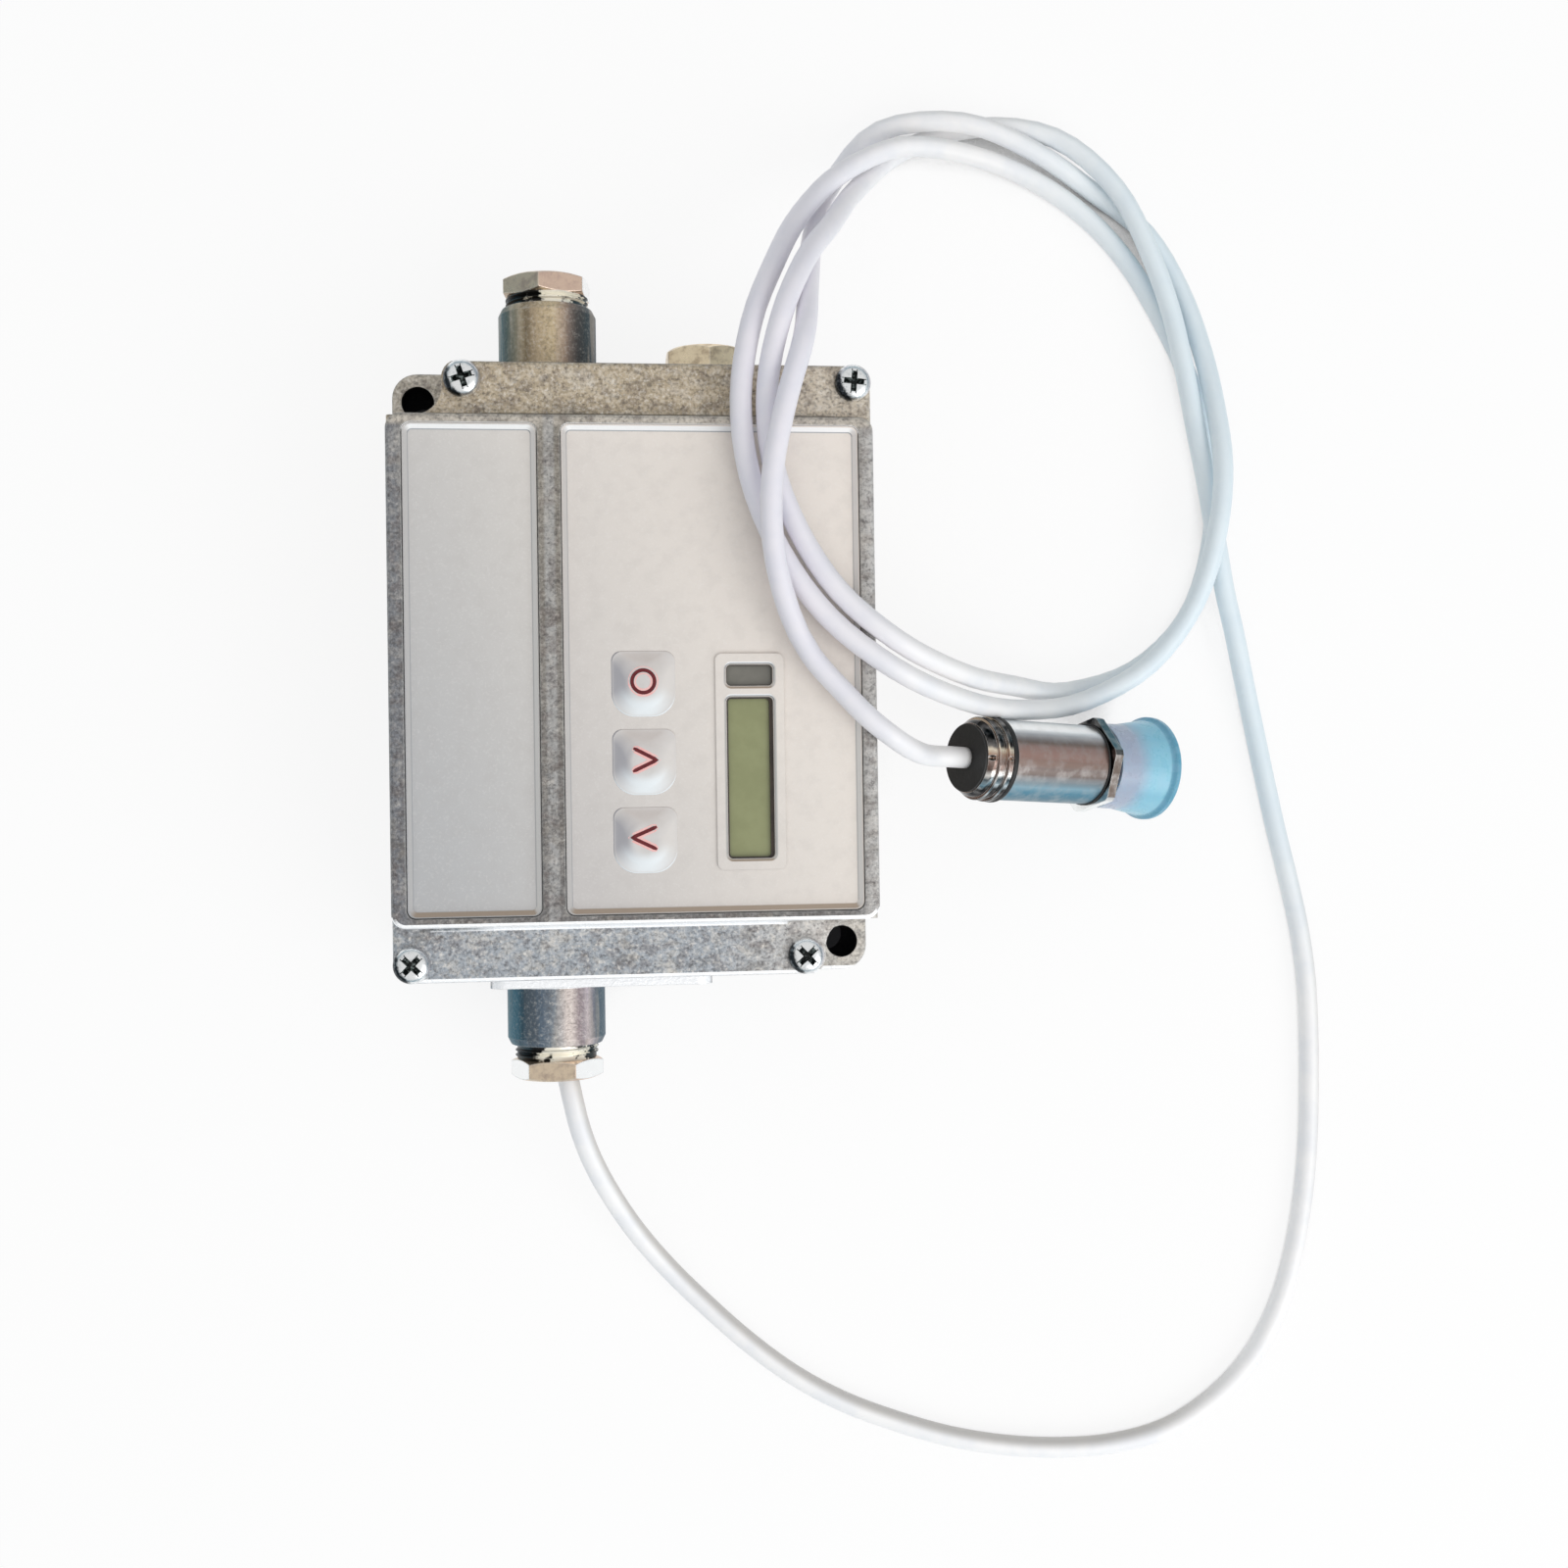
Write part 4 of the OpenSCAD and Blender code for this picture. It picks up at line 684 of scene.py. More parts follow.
def screw_head(name, place, turn):
    """A pan head with a tapered cross recess, turned by that many degrees."""
    radius, height = 2.65 * MM, 1.9 * MM
    shares = [(0, 0), (0.97, 0), (1, 0.05), (1, 0.36), (0.975, 0.5), (0.92, 0.64), (0.83, 0.77),
              (0.7, 0.88), (0.52, 0.955), (0.3, 0.99), (0, 1)]
    head = spun(name, [(r * radius, z * height) for r, z in shares], 72)
    for blade in (0, 90):
        verts = [(x * half_long, y * half_wide, z)
                 for half_long, half_wide, z in ((0.72 * MM, 0.252 * MM, height - 1.3 * MM),
                                                 (1.792 * MM, 0.483 * MM, height + 0.3 * MM))
                 for x, y in ((-1, -1), (1, -1), (1, 1), (-1, 1))]
        tool = mesh_object("cross", verts, [(3, 2, 1, 0), (4, 5, 6, 7)] + bands(4, 2), False)
        tool.rotation_euler.z = math.radians(blade)
        combine(head, tool)
    for finish in (screw_zinc, recess_shade):
        head.data.materials.append(finish)
    recess_r, pan_z = 1.85 * MM, 1.72 * MM
    for face in head.data.polygons:
        if face.center.xy.length < recess_r and 0.1 * MM < face.center.z < pan_z:
            face.material_index = 1
    head.data.transform(Matrix.Translation(place) @ Matrix.Rotation(math.radians(turn), 4, "Z"))
    return head


SCREW_PLACES = [(-0.0242, 0.0418, 18), (0.0323, 0.0418, -5),
                (-0.0323, -0.0418, 46), (0.0242, -0.0418, 43)]
SCREW_Z = 0.028
screw_heads = join("screw_heads", [screw_head("screw", Vector((x, y, SCREW_Z)), turn)
                                   for x, y, turn in SCREW_PLACES])
for face in screw_heads.data.polygons:
    face.use_smooth = True
screw_heads.modifiers.new("corners", "EDGE_SPLIT").split_angle = math.radians(38)
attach(screw_heads, BOX)
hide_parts("cover_screws")
print("screw heads:", len(screw_heads.data.polygons), "faces")


# %% Bright metals
def bright_metal(name, colour, dark, roughness):
    """Plated or turned metal: a mirror with a haze and small darker marks."""
    metal = Finish(name)
    cloud = metal.grain(900, 3.0)
    fine = metal.grain(4500, 2.0)
    metal.mottle(cloud.span(0.5, 0.75) * 0.6, colour, dark)
    # edges painted lighter: polish, and a painted highlight
    metal.layer(metal.edges(0.00018) * 0.5, 238, 238, 236)
    return metal.done(Metallic=1.0, Roughness=roughness + fine * 0.12,
                      Normal=metal.bump(fine, 0.000015, metal.soft_edges(0.00012)))


dress(bright_metal("screw_zinc", (226, 228, 232), (178, 184, 194), 0.16),
      "upper_screws", "main_screws", "terminal_screws", "gland_washers")
dress(bright_metal("bright_metal", (206, 208, 210), (160, 164, 170), 0.24),
      "upper_spacers", "cord_clamp", "head_detector")

# %% [markdown]
# ## Gland screws and plug
# The two pressure screws are nickel-plated brass, the plug beside them is bare brass. Between
# the hexagon and the socket a few turns of thread show. The frame has a plain shank there, so a
# real helix is laid around it, a ridge of triangular section. It rides on the screw and turns
# with it.


# %% Threads
def thread(name, body, start, along, radius, pitch, length, depth):
    """A ridge wound round an axis, from a start point along a direction."""
    sides = 48
    steps = int(length / pitch * sides)
    axis = along.normalized()
    across = axis.orthogonal().normalized()
    up = axis.cross(across)
    verts = []
    for i in range(steps + 1):
        angle = 2 * math.pi * i / sides
        fade = min(1, i / (sides / 4), (steps - i) / (sides / 4))
        out = across * math.cos(angle) + up * math.sin(angle)
        centre = start + axis * (pitch * i / sides)
        verts += [centre + out * (radius + rise) + axis * (offset * pitch * 0.96)
                  for rise, offset in ((-0.1 * depth, -0.42), (depth * fade, -0.06),
                                       (depth * fade, 0.06), (-0.1 * depth, 0.42))]
    ends = [(3, 2, 1, 0), tuple(4 * steps + k for k in range(4))]
    ridge = mesh_object(name, verts, bands(4, steps + 1) + ends, smooth=False)
    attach(ridge, body)
    return ridge


def brass(name, colour, dark, edge, painted_highlight=0.0):
    """Brass, bare or under thin nickel. The last argument sets how strongly painted highlights whiten
    the faces that lean far to either side, with a painted teal reflection at their edges and a painted
    pink reflection on faces towards the lamp.
    """
    metal = Finish(name)
    cloud = metal.grain(700, 4.0, 0.65)
    fine = metal.grain(3600, 2.0)
    lean = metal.part(metal.facing, 0)
    corner = metal.edges(0.0003)
    metal.mottle(cloud.span(0.42, 0.72), colour, dark)
    # painted reflection: a pink tint on faces towards the lamp
    metal.layer(lean.span(-0.1, 0.3) * painted_highlight * 0.4, 226, 188, 176)
    # edges painted lighter: polish, and a painted highlight
    metal.layer(corner * 0.7, *edge)
    # painted highlight: faces that lean far to either side turn white, with a painted teal reflection
    # at their edges
    white = metal.blend(corner * 0.7, tint(252, 253, 253), tint(96, 132, 142))
    metal.shade = metal.blend(abs(lean).span(0.7, 0.78) * painted_highlight, metal.shade, white)
    relief = fine * 0.5 + cloud * 0.5
    return metal.done(Metallic=0.9, Roughness=0.2 + cloud * 0.2,
                      Normal=metal.bump(relief, 0.00004, metal.soft_edges(0.0002)))


nickel_brass = brass("nickel_brass", (218, 200, 176), (182, 164, 148), (252, 246, 236), painted_highlight=1.0)
dress(brass("plug_brass", (240, 222, 190), (196, 176, 148), (252, 244, 226)), "blanking_plug")


# %% Pressure screws
GLAND_AXIS = Vector((-0.012, 0, 0.0145))
HEX_START, HEX_END, HEX_FLATS = 0.0572, 0.0602, 0.012
SHANK_START, SHANK_END, THREAD_START = 0.0522, 0.0573, 0.0553
NUT_BORE_R, CORE_R = 0.0033, 0.0059


def shadowed_thread():
    """Painted shade on the thread: black, with a dark teal painted reflection at its far flanks and
    painted white glints where it faces up.
    """
    dark = Finish("thread_metal")
    spots = dark.grain(560, 2.0)
    lean = dark.part(dark.facing, 0)
    glint = (abs(lean - 0.14) + (spots - 0.5) * 1.6).span(0.44, 0.3)
    dark.mottle(abs(lean).span(0.55, 0.7), (14, 12, 10), (22, 52, 62))
    dark.layer(glint, 255, 250, 236)
    return dark.done(Metallic=0.5, Roughness=0.25 + spots * 0.2,
                     Normal=dark.bump(spots, 0.00002))


def hexagon(name, turn, sunk):
    """A hexagon with turned-off corners and a bore, its axis along Z, sunk towards the socket."""
    corner_r = HEX_FLATS / 2 / math.cos(math.pi / 6)
    ends = [(corner_r * math.cos(a), corner_r * math.sin(a))
            for a in (math.radians(turn + 60 * k) for k in range(6))]
    prism = mesh_object(name, [(*p, z) for z in (HEX_START, HEX_END) for p in ends],
                        [(5, 4, 3, 2, 1, 0), (6, 7, 8, 9, 10, 11)] + bands(6, 2), False)
    face_r, wide_r, run = HEX_FLATS / 2 - 0.25 * MM, corner_r + MM, 0.84 * MM
    turned = spun("turned", [(0, HEX_START), (face_r, HEX_START), (wide_r, HEX_START + run),
                             (wide_r, HEX_END - run), (face_r, HEX_END), (0, HEX_END)])
    combine(prism, turned, "INTERSECT")
    low, mouth = HEX_START - MM, HEX_END + 0.5 * MM
    combine(prism, spun("bore", [(0, low), (NUT_BORE_R, low), (NUT_BORE_R, HEX_END - 0.4 * MM),
                                 (NUT_BORE_R + 0.9 * MM, mouth), (0, mouth)]))
    prism.data.transform(Matrix.Translation((0, 0, -sunk)))
    return prism


thread_metal = shadowed_thread()
for node, side, turn, sunk in (("supply_nut", 1, -100, 0.45 * MM), ("cord_nut", -1, 67, 0)):
    stand = Matrix.Translation(GLAND_AXIS) @ Matrix.Rotation(-side * math.pi / 2, 4, "X")
    nut = hexagon(node + "_hexagon", turn, sunk)
    nut.data.transform(stand)
    for face in nut.data.polygons:
        face.use_smooth = False
    round_edges(nut, 0.1 * MM, 20)
    nut.data.materials.append(nickel_brass)
    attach(nut, node)
    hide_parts(node)
    shank = spun(node + "_shank", [(r, z) for r, z in (
        (NUT_BORE_R, SHANK_START), (CORE_R, SHANK_START),
        (CORE_R, SHANK_END), (NUT_BORE_R, SHANK_END))], ring=True)
    shank.data.transform(stand)
    shank.data.materials.append(thread_metal)
    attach(shank, node)
    ridge = thread(node + "_thread", node,
                   GLAND_AXIS + Vector((0, side * THREAD_START, 0)), Vector((0, side, 0)),
                   CORE_R, 0.75 * MM, 1.75 * MM, 0.3 * MM)
    ridge.data.materials.append(thread_metal)
    print(nut.name, len(nut.data.polygons), "faces")

# %% [markdown]
# ## Plates and frame
# Label plate and control panel are printed foils on thin metal, satin and very slightly mottled,
# painted paler towards the lamp. Their borders are bent up beside the rim, with a painted
# highlight above, painted shade below and a painted dark crease at their foot. The mottling is
# noise on two scales, and the bump is kept faint so that the print stays flat.


# %% Plates
def satin_plate(name, far, near):
    """A satin foil, painted paler towards the lamp, with a bent-up border in painted light and shade.
    """
    plate = Finish(name)
    cloud = plate.grain(420, 4.0, 0.6)
    fine = plate.grain(2600, 2.0)
    towards_lamp = plate.dot(plate.place, (0.92, 0.39, 0.0))
    plate.mottle(towards_lamp.span(-0.055, 0.030), far, near)
    plate.layer(cloud.span(0.42, 0.7) * 0.10, 176, 170, 166)
    plate.layer(fine.span(0.52, 0.7) * 0.12, 250, 248, 246)
    level = plate.part(plate.place, 2)
    lean_x, lean_y = (plate.part(plate.facing, axis) for axis in (0, 1))
    # the border: a painted highlight where it faces the lamp, painted shade where it faces away
    border = level.span(0.02902, 0.02908)
    plate.layer(border * lean_y.span(0.2, 0.5) * 0.8, 176, 152, 128)
    plate.layer(border * lean_y.span(-0.2, -0.5), 255, 255, 255)
    plate.layer(border * lean_x.span(-0.2, -0.5) * 0.8, 226, 223, 220)
    plate.layer(border * lean_x.span(0.2, 0.5) * 0.6, 192, 189, 187)
    # a painted dark crease at the border's foot
    crease = level.span(0.02901, 0.02906) * level.span(0.02918, 0.02912)
    plate.layer(crease * lean_y.span(0.3, -0.3) * 0.7, 96, 106, 118)
    relief = cloud * 0.4 + fine * 0.6
    return plate.done(Roughness=0.42 + fine * 0.16, Metallic=0.05,
                      Normal=plate.bump(relief, 0.00003, plate.soft_edges(0.00012)))


dress(satin_plate("plate_grey", (184, 186, 189), (238, 231, 223)), "label_plate")
dress(satin_plate("plate_white", (184, 184, 187), (240, 232, 224)), "control_panel", "display_bezel")

# %% [markdown]
# ## Keys
# Each key is a soft dome in the panel's foil, with a symbol printed in dark red. The frame's key
# is a hard block on a lip. The dome that replaces it is a stack of outlines, straight above and
# round below, which rise to the crown along a soft curve. Its foot lies on the panel. The symbols
# are thin ridges of print, laid on the dome and riding with the key.

# %% Key domes
KEY_X = 1.05 * MM
KEY_HALF_W, KEY_HALF_L = 4.35 * MM, 4.5 * MM
KEY_TOP_R, KEY_FOOT_R = 1.6 * MM, 3.4 * MM
KEY_FLANGE = 0.24 * MM
KEY_FOOT_Z, KEY_SHOULDER_Z, KEY_CROWN_Z = 29.02 * MM, 29.56 * MM, 29.79 * MM
FOIL_T = 0.1 * MM
KEY_CENTRES = {"key_ring": -2.1 * MM, "key_down": -13.35 * MM, "key_up": -24.6 * MM}


def corner_arc(x, y, radius, first, steps=10):
    """Points round one corner, a quarter turn from that many degrees on."""
    angles = [math.radians(first + 90 * i / steps) for i in range(steps + 1)]
    return [Vector((x + radius * math.cos(a), y + radius * math.sin(a))) for a in angles]


def key_outline(shrink):
    """The key's outline from above, made smaller all round."""
    top, foot = KEY_TOP_R + shrink * 0.6, KEY_FOOT_R + shrink * 0.1
    top, foot = (min(r, KEY_HALF_W - shrink - 0.02 * MM) for r in (top, foot))
    x, y = KEY_HALF_W - shrink, KEY_HALF_L - shrink
    return (corner_arc(x - top, y - top, top, 0) + corner_arc(top - x, y - top, top, 90)
            + corner_arc(foot - x, foot - y, foot, 180) + corner_arc(x - foot, foot - y, foot, 270))


def key_height(shrink):
    """The dome's height at that distance in from the outline."""
    inner = max(0, min((shrink + KEY_FLANGE) / (KEY_HALF_W + KEY_FLANGE), 1))
    return KEY_FOOT_Z + (KEY_CROWN_Z - KEY_FOOT_Z) * smooth_step(min(inner * 1.5, 1) ** 0.8)


def key_dome(node, centre_y):
    """A domed foil over the key, closed underneath by its own thickness."""
    steps = (-0.24, -0.1, 0, 0.15, 0.3, 0.5, 0.7, 0.9, 1.1, 1.3, 1.5, 1.75, 2.2, 2.7, 3.3, 3.9)
    top = [(s * MM, key_height(s * MM)) for s in steps]
    under = [(s, max(z - FOIL_T, KEY_FOOT_Z - 0.015 * MM)) for s, z in reversed(top)]
    verts = [(KEY_X + p.x, centre_y + p.y, z) for shrink, z in top + under
             for p in key_outline(shrink)]
    count, crown = len(key_outline(0)), len(top)
    faces = bands(count, 2 * crown, closed=True)
    faces[count * (crown - 1):count * crown] = [
        tuple(range(count * (crown - 1), count * crown)),
        tuple(reversed(range(count * crown, count * (crown + 1))))]
    dome = mesh_object(node + "_dome", verts, faces)
    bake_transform(dome)
    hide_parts(node)
    return dome


domes = [key_dome(node, y) for node, y in KEY_CENTRES.items()]
surfaces = {node: BVHTree.FromPolygons([v.co for v in dome.data.vertices],
                                       [face.vertices for face in dome.data.polygons])
            for node, dome in zip(KEY_CENTRES, domes)}
print("domes:", [round(dome.dimensions.z / MM, 2) for dome in domes], "mm high")

# %% Key symbols
STROKE, SINK = 0.58 * MM, 0.12 * MM


def symbol(name, node, points, closed, width=STROKE, lift=0.03 * MM):
    """A printed line on a key: a thin band that stands a hair above the dome."""
    verts, path = [], list(points)
    if not closed:
        for end, inner in ((0, 1), (-1, -2)):
            run = (path[end] - path[inner]).normalized()
            path[end] = path[end] + run * width * 0.1
    count = len(path)
    for i, point in enumerate(path):
        before = path[i - 1] if closed or i else point
        after = path[(i + 1) % count] if closed or i < count - 1 else point
        run = (after - before).normalized()
        share = 1.0 if closed else min(1.0, 0.55 + 0.45 * min(i, count - 1 - i))
        out = Vector((-run.y, run.x)) * width * share / 2
        for side, height in ((-1, -SINK), (-0.9, lift), (0.9, lift), (1, -SINK)):
            spot = point + out * side
            below = surfaces[node].ray_cast(Vector((*spot, 0.1)), Vector((0, 0, -1)))[0]
            verts.append((spot.x, spot.y, below.z + height))
    ends = [] if closed else [(3, 2, 1, 0), tuple(4 * count - k for k in (4, 3, 2, 1))]
    mark = mesh_object(name, verts, bands(4, count, closed) + ends, smooth=False)
    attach(mark, node)
    return mark


def chevron(*corners):
    """Points along two straight strokes, whose corners are given in millimetres."""
    spots = [Vector(a).lerp(Vector(b), i / 10) * MM for a, b in zip(corners, corners[1:])
             for i in range(10)]
    return spots + [Vector(corners[-1]) * MM]


RING_CENTRE, RING_R = Vector((1.0, -1.8)), 1.62
ring_points = [(RING_CENTRE + RING_R * Vector((math.cos(a), math.sin(a)))) * MM
               for a in (k * math.pi / 24 for k in range(48))]
SYMBOLS = [("ring_mark", "key_ring", ring_points, True),
           ("down_mark", "key_down", chevron((-0.5, -11.4), (2.8, -13.1), (-0.6, -14.7)), False),
           ("up_mark", "key_up", chevron((2.6, -22.7), (-0.9, -24.2), (2.6, -25.9)), False)]
marks = [symbol(*row) for row in SYMBOLS]
halos = [symbol(name + "_halo", node, points, closed, STROKE * 2.2, 0.015 * MM)
         for name, node, points, closed in SYMBOLS]
print("marks:", [mark.name for mark in marks])


# %% Key finishes
def key_foil():
    """The domes' foil: satin like the panel, with painted light and shade: bluish white where it falls
    towards the lamp, paler on the right, warmer and darker above and grey on its left.
    """
    foil = Finish("key_white")
    cloud = foil.grain(420, 3.0)
    fine = foil.grain(3600, 2.0)
    lean_x, lean_y = (foil.part(foil.facing, axis) for axis in (0, 1))
    foil.mottle(cloud.span(0.35, 0.7), (220, 216, 214), (214, 210, 207))
    foil.layer(lean_y.span(0.02, 0.4) * 0.5, 204, 190, 182)
    foil.layer(lean_x.span(-0.03, -0.3) * 0.8, 160, 160, 168)
    foil.layer(lean_x.span(0.05, 0.35) * 0.5, 228, 222, 216)
    foil.layer(lean_y.span(0.02, -0.34) * 0.9, 240, 247, 251)
    return foil.done(Roughness=0.36 + fine * 0.14,
                     Normal=foil.bump(fine * 0.5 + cloud * 0.5, 0.00002))


def ink(name, dense, thin, roughness):
    """Screen ink or its halo: dense in the middle of a line and thinner at its grainy edge."""
    film = Finish(name)
    cloud = film.grain(2600, 2.0)
    film.mottle(cloud.span(0.4, 0.68), dense, thin)
    return film.done(Roughness=roughness + cloud * 0.1, Normal=film.bump(cloud, 0.00001))


for pieces, finish in ((domes, key_foil()),
                       (marks, ink("print_red", (92, 4, 16), (112, 16, 28), 0.42)),
                       (halos, ink("print_halo", (252, 190, 186), (246, 206, 202), 0.4))):
    for piece in pieces:
        piece.data.materials.append(finish)
print("keys dressed")

# %% [markdown]
# ## Display and indicator
# Behind the two openings lie smoked windows. The display is an olive liquid-crystal glass and the
# indicator a greyer one. A dark sleeve lines the display's opening and frames the glass with a
# brown-black wall, thicker on the right. It is hollow, with rounded corners.


# %% Display seal
SEAL_FOOT_Z = 28.22 * MM


def rounded_ring(x0, y0, x1, y1, radius):
    """The corners of a rounded rectangle, anticlockwise."""
    centres = ((x1 - radius, y1 - radius), (x0 + radius, y1 - radius),
               (x0 + radius, y0 + radius), (x1 - radius, y0 + radius))
    return [p for k, centre in enumerate(centres) for p in corner_arc(*centre, radius, 90 * k, 6)]


def seal(name, box, wall, top, thick_right=0.0):
    """A sleeve that lines an opening; its right wall may be thicker."""
    x0, y0, x1, y1 = (v * MM for v in box)
    outer = rounded_ring(x0, y0, x1, y1, 0.66 * MM)
    inner = rounded_ring(x0 + wall, y0 + wall, x1 - wall - thick_right, y1 - wall, 0.5 * MM)
    rows = ((outer, SEAL_FOOT_Z), (outer, top), (inner, top - 0.05 * MM), (inner, SEAL_FOOT_Z))
    lining = mesh_object(name, [(*p, z) for row, z in rows for p in row],
                         bands(len(outer), len(rows), closed=True), smooth=False)
    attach(lining, BOX)
    return lining


display_seal = seal("display_seal", (13.03, -27.47, 19.77, -4.13), 0.22 * MM, 28.75 * MM,
                    thick_right=0.3 * MM)
indicator_seal = seal("indicator_seal", (13.03, -2.47, 19.77, 0.57), 0.16 * MM, 28.7 * MM)
print("seals:", display_seal.name, indicator_seal.name)


# %% Windows and glass
def smoked_glass(name, colour, dark, pale):
    """Printed glass: a plain tint, faintly mottled, under a clear glossy coat."""
    glass = Finish(name)
    cloud = glass.grain(300, 3.0)
    fine = glass.grain(2600, 2.0)
    glass.mottle(cloud.span(0.3, 0.7), pale, dark)
    glass.shade = glass.blend(0.5, tint(*colour), glass.shade)
    return glass.done(Roughness=0.28 + fine * 0.1, Coat_Weight=0.35 + cloud * 0.1,
                      Normal=glass.bump(fine, 0.000006))


for name, colours, pane in (
        ("window_olive", ((144, 148, 106), (136, 140, 98), (150, 154, 112)), "display_window"),
        ("window_grey", ((118, 116, 108), (108, 107, 100), (126, 124, 116)), "indicator_window"),
        ("lcd_olive", ((132, 138, 104), (122, 128, 96), (140, 146, 112)), "display_lcd")):
    dress(smoked_glass(name, *colours), pane)

# %% [markdown]
# ## Rubber and plastics
# Gaskets, grommets, the lock ring and the O-ring are black rubber, matt with a fine skin. Sockets,
# relays and switches are black plastic, which is smoother. The boards are green with paler copper
# lines under the lacquer.


# %% Rubber and plastics
def moulded(name, colour, dark, roughness):
    """Rubber or moulded plastic with a fine skin."""
    skin = Finish(name)
    cloud = skin.grain(400, 3.0)
    fine = skin.grain(2400, 2.0)
    skin.mottle(cloud.span(0.35, 0.7), colour, dark)
    # edges painted lighter: wear, and a painted highlight
    skin.layer(skin.edges(0.0002) * 0.25, 150, 150, 150)
    return skin.done(Roughness=roughness + fine * 0.2,
                     Normal=skin.bump(fine, 0.00003, skin.soft_edges(0.0001)))


black_rubber = moulded("black_rubber", (22, 22, 23), (14, 14, 15), 0.42)
dress(black_rubber, "supply_grommet", "cord_grommet", "plug_seal", "cover_gasket", "head_lens_ring")
for lining, colours in ((display_seal, ((58, 46, 36), (40, 32, 26))),
                        (indicator_seal, ((92, 86, 78), (74, 70, 64)))):
    lining.data.materials.append(moulded(lining.name, *colours, 0.5))
for name, colour, dark, roughness, parts in (
        ("black_plastic", (28, 28, 30), (20, 20, 22), 0.26,
         ("key_switches", "board_header", "main_parts")),
        ("plug_black", (13, 14, 16), (8, 9, 10), 0.4, ("head_back_plug",)),
        ("terminal_green", (52, 128, 72), (44, 112, 62), 0.32, ("terminal_blocks",)),
        ("wire_red", (160, 40, 34), (140, 32, 28), 0.35, ("inner_wires",)),
        ("led_white", (224, 224, 220), (206, 206, 202), 0.3, ("display_holder", "indicator_led"))):
    dress(moulded(name, colour, dark, roughness), *parts)


# %% Boards
def board_lacquer():
    """A green board under lacquer, with paler copper lines."""
    board = Finish("board_green")
    lines = board.node("ShaderNodeTexWave", {"bands_direction": "X"}, {
        "Vector": board.place, "Scale": 160.0, "Distortion": 3.0, "Detail": 2.0,
        "Detail Scale": 60.0}, "Fac")
    cloud = board.grain(300, 3.0)
    board.mottle(cloud.span(0.4, 0.65), (24, 84, 52), (18, 70, 44))
    board.layer(lines.span(0.72, 0.84) * 0.6, 58, 120, 76)
    return board.done(Roughness=0.3 + cloud * 0.15, Normal=board.bump(lines, 0.00002))


dress(board_lacquer(), "upper_board", "main_board", "head_board")

# %% [markdown]
# ## The sensing head
# The head is a small steel tube, turned and polished, screwed together from barrel, collar and
# nut. Its barrel carries painted reflections: the floor in a bluish lower band and the sky in a
# warm upper one. Collar and nut carry painted reflections too. A clear coat over the metal isn't
# needed: a low roughness with faint lathe rings, which run round the axis, gives the look.


# %% Head steel
def head_steel(name, stops, roughness, ends=False):
    """Turned steel; the stops are painted reflections across the head, from the -Y side to the +Y
    side.
    """
    steel = Finish(name)
    along = steel.dot(steel.place, tuple(head_back))
    rings = steel.node("ShaderNodeTexNoise", {"noise_dimensions": "1D"},
                       {"W": along * 9000.0, "Scale": 1.0, "Detail": 2.0})
    side = head_back.cross(Vector((0, 0, 1))).normalized()
    lean = steel.dot(steel.facing, tuple(side)) * 0.5 + 0.5
    steel.shade = steel.node("ShaderNodeValToRGB", {"stops": stops}, {"Fac": lean})
    # with ends, the rear faces get painted shade on one flank and a painted highlight on the other
    if ends:
        offset = steel.dot(steel.place, tuple(side)) - HEAD_RIM.dot(side)
        flank = steel.blend(offset.span(-0.003, -0.0045), tint(18, 20, 22), tint(248, 250, 250))
        end = steel.dot(steel.facing, tuple(head_back)).span(0.6, 0.8)
        steel.shade = steel.blend(end, steel.shade, flank)
    cloud = steel.grain(500, 3.0)
    steel.layer(cloud.span(0.4, 0.7) * 0.25, 206, 204, 202)
    # edges painted lighter: polish, and a painted highlight
    steel.layer(steel.edges(0.00018) * 0.6, 244, 244, 242)
    return steel.done(Metallic=1.0, Roughness=roughness + rings * 0.12,
                      Normal=steel.bump(rings, 0.000008, steel.soft_edges(0.00012)))


BARREL_REFLECTIONS = [
    (0.0, (56, 104, 124)), (0.11, (89, 142, 165)), (0.17, (146, 183, 199)),
    (0.25, (151, 155, 158)), (0.32, (105, 95, 91)), (0.4, (112, 101, 97)),
    (0.46, (151, 129, 120)), (0.56, (182, 148, 138)), (0.67, (188, 154, 144)),
    (0.72, (156, 134, 124)), (0.82, (176, 177, 180)), (0.88, (255, 255, 255)),
    (1.0, (196, 202, 204))]
COLLAR_REFLECTIONS = [
    (0.0, (8, 10, 12)), (0.14, (16, 20, 24)), (0.19, (206, 220, 226)),
    (0.25, (80, 92, 98)), (0.3, (230, 228, 224)), (0.36, (96, 80, 74)),
    (0.46, (130, 104, 94)), (0.54, (176, 142, 120)), (0.6, (240, 226, 202)),
    (0.64, (60, 54, 52)), (0.7, (14, 16, 18)), (1.0, (8, 10, 12))]
NUT_REFLECTIONS = [
    (0.0, (246, 250, 250)), (0.14, (236, 238, 238)), (0.2, (84, 74, 68)),
    (0.55, (96, 86, 80)), (0.64, (60, 60, 60)), (0.74, (44, 78, 86)),
    (0.9, (58, 96, 106)), (1.0, (22, 30, 34))]
dress(head_steel("head_steel", BARREL_REFLECTIONS, 0.26), "head_barrel")
dress(head_steel("nut_steel", NUT_REFLECTIONS, 0.16, ends=True), "head_nut")

# %% [markdown]
# The collar behind the barrel is turned in steps, with a black ring before it. The frame's
# collar is one plain cylinder with a groove, so both are replaced by finer turned rings. Two
# small blind holes in the collar take a pin wrench.


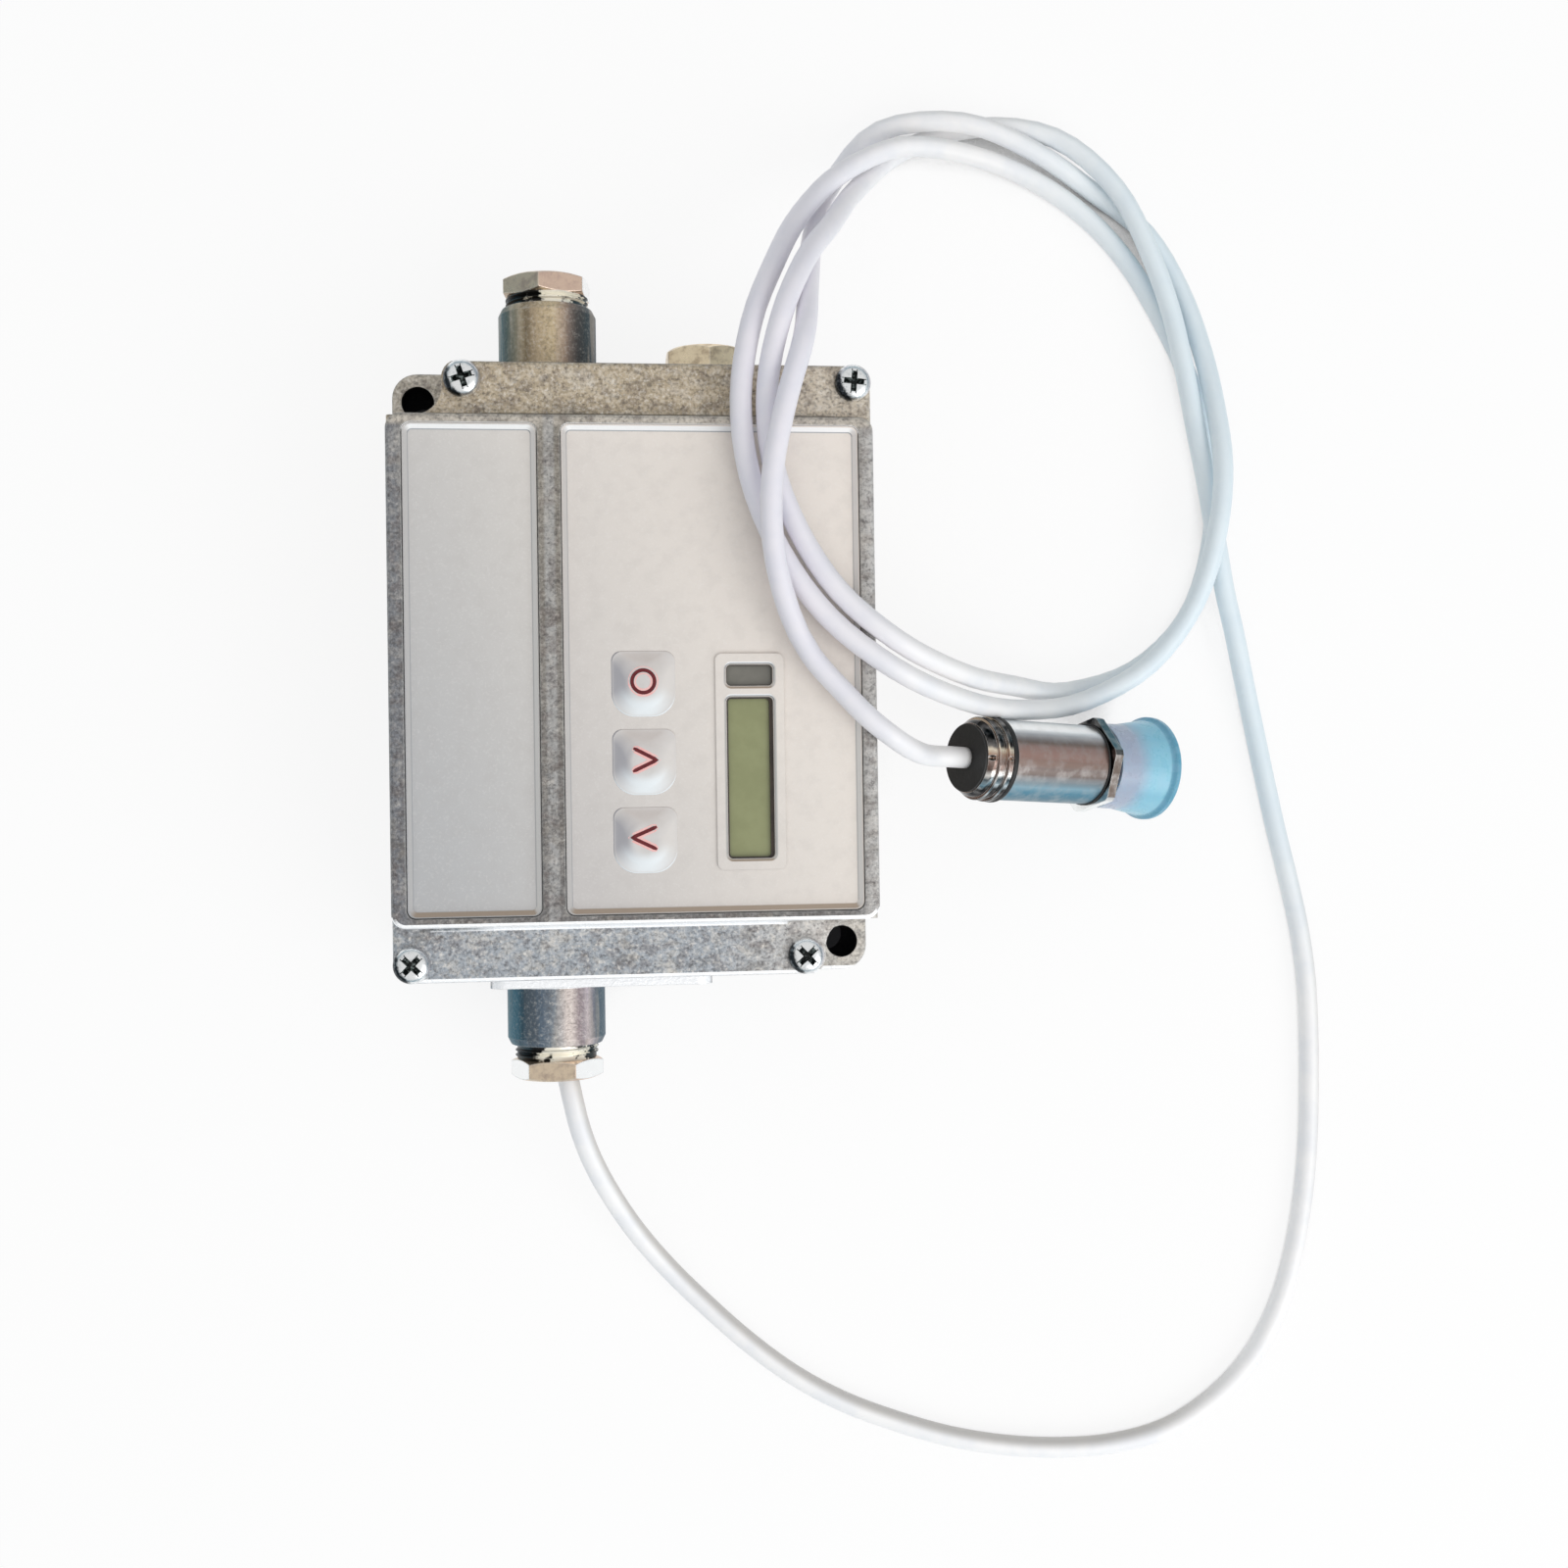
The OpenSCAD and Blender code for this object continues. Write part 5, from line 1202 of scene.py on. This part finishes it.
# %% Collar, ring and lock ring
def head_ring(name, node, outline, finish):
    """A turned ring on the head: pairs of radius and distance back from the cap's rim, in mm."""
    ring = spun(name, [(r * MM, s * MM) for r, s in outline], 96, ring=True)
    ring.data.materials.append(finish)
    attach(ring, BOX)
    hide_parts(node)
    return ring


collar = head_ring("collar_rings", "head_collar", [
    (5.66, 31.32), (6.4, 31.32), (6.52, 31.42), (6.52, 32.1), (6.4, 32.24), (6.06, 32.3), (6.06, 32.7),
    (6.24, 32.86), (6.34, 33.0), (6.34, 33.75), (6.2, 33.9), (5.86, 33.95), (5.84, 34.5),
    (5.7, 34.75), (5.3, 35.3), (5.16, 35.3), (5.16, 33.46), (5.66, 33.46)],
    head_steel("collar_steel", COLLAR_REFLECTIONS, 0.12))
for r, s, tip in ((5.62, 34.3, 0), (6.2, 31.85, 90)):
    pin = spun("pin", [(0, 0), (0.4 * MM, 0), (0.4 * MM, 2 * MM), (0, 2 * MM)], 24)
    pin.data.transform(Matrix.Translation((r * MM, 0, s * MM))
                       @ Matrix.Rotation(math.radians(tip), 4, "Y"))
    combine(collar, pin)
collar.data.transform(on_head)
black_ring = head_ring("black_ring", "head_o_ring", [
    (5.66, 30.42), (6.35, 30.42), (6.52, 30.5), (6.6, 30.68), (6.6, 31.02), (6.52, 31.2),
    (6.35, 31.28), (5.66, 31.28)], black_rubber)
lock_ring = head_ring("lock_ring", "head_lock_ring", [
    (5.95, 12.66), (6.3, 12.66), (6.4, 12.72), (6.4, 12.88), (6.3, 12.94), (5.95, 12.94)],
    black_rubber)
for ring in (black_ring, lock_ring):
    ring.data.transform(on_head)
for ring in (collar, black_ring, lock_ring):
    ring.modifiers.new("corners", "EDGE_SPLIT").split_angle = math.radians(35)
print("collar:", len(collar.data.polygons), "faces")
dress(bright_metal("germanium", (86, 88, 94), (64, 66, 72), 0.08), "head_lens")


# %% Protective cap
def cap_plastic():
    """Soft blue plastic, a little see-through. Light through its thin dish is painted in as a brighter
    blue, its lip is a darker teal, and its edges get a painted highlight.
    """
    cap = Finish("cap_blue")
    along = cap.dot(cap.place, tuple(head_back))
    rim_at = HEAD_RIM.dot(head_back)
    dish = along.span(rim_at + 0.0078, rim_at + 0.0040)
    cloud = cap.grain(420, 3.0)
    cap.mottle(dish, (168, 178, 198), (142, 200, 220))
    cap.layer(cap.edges(0.0003) * 0.4, 178, 222, 234)
    lip = along.span(rim_at + 0.0017, rim_at + 0.0010)
    cap.layer(lip * 0.75, 84, 148, 174)
    cap.layer(cloud.span(0.4, 0.7) * 0.2, 176, 208, 228)
    return cap.done(Roughness=0.22 + cloud * 0.12, Subsurface_Weight=0.35,
                    Subsurface_Radius=(0.0008, 0.0012, 0.0016), Subsurface_Scale=1.0,
                    Normal=cap.bump(cloud, 0.00002, cap.soft_edges(0.0002)))


dress(cap_plastic(), "head_cap")

# %% [markdown]
# ## The cord's jacket
# The jacket is white plastic with a soft gloss. Most of its greys come from the light between
# the strands. The colour itself is nearly white. A warmer grey is painted shade on the sides that
# face up and right, and in the coil painted reflections make it faintly blue at the far right and
# faintly violet over the box.


# %% Cord jacket
def cord_jacket():
    """White plastic, with painted shade and painted reflections of what lies round it."""
    jacket = Finish("cord_grey")
    cloud = jacket.grain(160, 3.0)
    fine = jacket.grain(2400, 2.0)
    across, along = (jacket.part(jacket.place, axis) for axis in (0, 1))
    jacket.mottle(cloud.span(0.35, 0.7), (253, 252, 252), (244, 245, 248))
    lean = jacket.dot(jacket.facing, (0.5, 0.82, 0.0))
    coiled = along.span(-0.06, -0.01)
    jacket.layer(lean.span(0.0, 0.7) * (0.75 - coiled * 0.5), 190, 184, 178)
    jacket.layer(across.span(0.055, 0.09) * coiled * 0.5, 208, 234, 246)
    jacket.layer(across.span(0.05, 0.02) * coiled * 0.4, 228, 222, 240)
    return jacket.done(Roughness=0.34 + fine * 0.12,
                       Normal=jacket.bump(fine * 0.4 + cloud * 0.6, 0.00002))


jacket = cord_jacket()
cord.data.materials.append(jacket)
dress(jacket, "cord_end")

# %% [markdown]
# ## Edges
# The frame's pieces have sharp edges where the construction doesn't round them. Real castings
# and stampings never do, and an edge without a round catches no light, so the pieces that show
# get a small real bevel.

# %% Edge rounds
for name, width in (("base_housing", 0.25), ("cover", 0.22), ("label_plate", 0.08),
                    ("control_panel", 0.08), ("display_bezel", 0.06), ("blanking_plug", 0.12),
                    ("head_nut", 0.12), ("head_barrel", 0.1), ("head_cap", 0.1)):
    round_edges(nodes[name], width * MM)
print("edges rounded")

# %% [markdown]
# ## Sizes and finish
# The scene's transforms are brought up to date.

# %% Sizes
bpy.context.view_layer.update()
